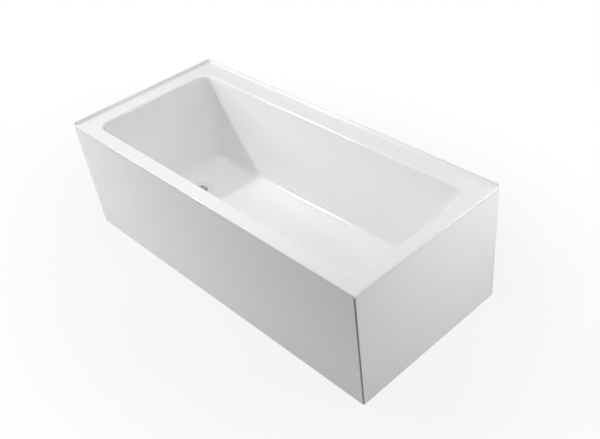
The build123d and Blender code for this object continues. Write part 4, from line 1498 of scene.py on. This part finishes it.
@dataclass
class Studio:
    """Pale floor, soft lights, a white surround and the photograph's camera."""

    eye: Point = (2.15018, -1.56980, 2.16820)
    right: Point = (0.70016, 0.70872, -0.08650)
    up: Point = (-0.41351, 0.50128, 0.76008)
    back: Point = (0.58205, -0.49641, 0.64405)
    lens: float = 46.75
    shift: Flat = (-0.048, 0.0683)
    fill: float = 0.165
    lift: float = 0.84
    floor_reach: float = 6.0

    def camera(self) -> None:
        """Place the camera as it stood for the photograph."""
        data = bpy.data.cameras.new("camera")
        data.lens = self.lens
        data.sensor_width = 36.0
        data.shift_x, data.shift_y = self.shift
        camera = bpy.data.objects.new("camera", data)
        turn = Matrix((self.right, self.up, self.back)).transposed()
        camera.matrix_world = Matrix.Translation(self.eye) @ turn.to_4x4()
        bpy.context.scene.collection.objects.link(camera)
        bpy.context.scene.camera = camera

    def light(
        self, name: str, place_at: Point, aim: Point, size: float, power: float, glints: bool = True
    ) -> None:
        """Add a round soft light.

        Args:
            name: the lamp's name.
            place_at: where it stands.
            aim: the point that it faces.
            size: its diameter.
            power: its watts.
            glints: whether it shows in the gloss.
        """
        data = bpy.data.lights.new(name, "AREA")
        data.shape = "DISK"
        data.size = size
        data.energy = power
        lamp = bpy.data.objects.new(name, data)
        lamp.location = place_at
        lamp.visible_camera = False
        lamp.visible_glossy = glints
        lamp.rotation_euler = (Vector(aim) - Vector(place_at)).to_track_quat("-Z", "Y").to_euler()
        bpy.context.scene.collection.objects.link(lamp)

    @staticmethod
    def seen(n: Nodes) -> Socket:
        """Tell what is seen from what only lights.

        Args:
            n: the nodes of the material or world.

        Returns:
            A socket with 1 on rays from the camera and those through or off shiny things, and 0 on the rest.
        """
        path = n.add("ShaderNodeLightPath").outputs
        direct = n.math("MAXIMUM", path["Is Camera Ray"], path["Is Transmission Ray"])
        return n.math("MAXIMUM", direct, path["Is Glossy Ray"])

    def surround(self) -> None:
        """Make a white backdrop to the camera and in reflections, and a softer fill on the object."""
        world = bpy.data.worlds.new("surround")
        bpy.context.scene.world = world
        world.use_nodes = True
        n = Nodes(world.node_tree)
        background = world.node_tree.nodes["Background"].inputs
        n.feed(background["Color"], (1.0, 1.0, 1.0))
        n.feed(background["Strength"], n.math("MULTIPLY_ADD", self.seen(n), 1.0 - self.fill, self.fill))

    def floor(self) -> None:
        """Make a pale floor that keeps the bath's shadow and, to the camera, fades to white around it."""
        ends = (-self.floor_reach, self.floor_reach)
        grid = np.array([[[x, y, 0.0] for y in ends] for x in ends])
        floor = Surfaces().add_grid(grid, wrap_u=False).build("floor")
        n = Finish("pale floor")
        tone = n.blend(n.noise(1.5, 2.0), (0.62, 0.62, 0.62), (0.65, 0.65, 0.65))
        n.set(Base_Color=tone, Roughness=0.9)
        away = n.add("ShaderNodeVectorMath", operation="LENGTH")
        n.feed(away.inputs[0], n.mapped(Scale=(0.85, 1.3, 0.0)))
        fade = n.add(
            "ShaderNodeMapRange",
            interpolation_type="SMOOTHSTEP",
            Value=away.outputs["Value"],
            From_Min=0.7,
            From_Max=1.9,
            To_Min=self.lift,
            To_Max=1.0,
        )
        share = n.math("MULTIPLY", self.seen(n), fade.outputs["Result"])
        glow = n.add("ShaderNodeEmission", Strength=1.0).outputs["Emission"]
        mixed = n.combine(n.add("ShaderNodeMixShader"), share, n.shader.outputs["BSDF"], glow)
        n.feed(n.tree.nodes["Material Output"].inputs["Surface"], mixed)
        floor.data.materials.append(n.material)

    def build(self) -> None:
        """Set the whole studio and the colour handling."""
        bpy.context.scene.view_settings.view_transform = "Standard"
        self.camera()
        self.surround()
        self.floor()
        self.light("key", (-3.45, -1.9, 3.5), (0.0, 0.0, 0.3), 0.25, 61.5)
        self.light("key front", (-3.2, -3.0, 3.0), (0.0, 0.0, 0.3), 0.25, 23.0)
        self.light("over front", (0.2, -0.35, 1.7), (0.0, 0.1, 0.3), 0.5, 5.5, glints=False)
        self.light("over left", (-0.9, 0.1, 2.2), (-0.6, 0.1, 0.4), 0.6, 7.6, glints=False)
        self.light("front left", (-1.9, -1.6, 1.0), (-0.6, -0.375, 0.3), 0.6, 10.8)
        self.light("far right", (1.5, 0.9, 0.9), (0.85, 0.3, 0.4), 0.4, 4.4)
        self.light("right", (2.0, 0.25, 1.1), (0.85, 0.05, 0.4), 0.4, 6.6)


def main() -> None:
    """Dress the frame, build every new piece and set the studio."""
    logging.basicConfig(level=logging.INFO, format="%(name)s: %(message)s")
    palette = Palette()
    palette.dress_nodes()
    BathShell(palette).build()
    Backing(palette).build()
    SteelFrame(palette).build()
    for index in FEET:
        LevellingFoot(palette, index).build()
    FootNuts(palette).build()
    PopUpWaste(palette).build()
    Studio().build()


if __name__ == "__main__":
    main()
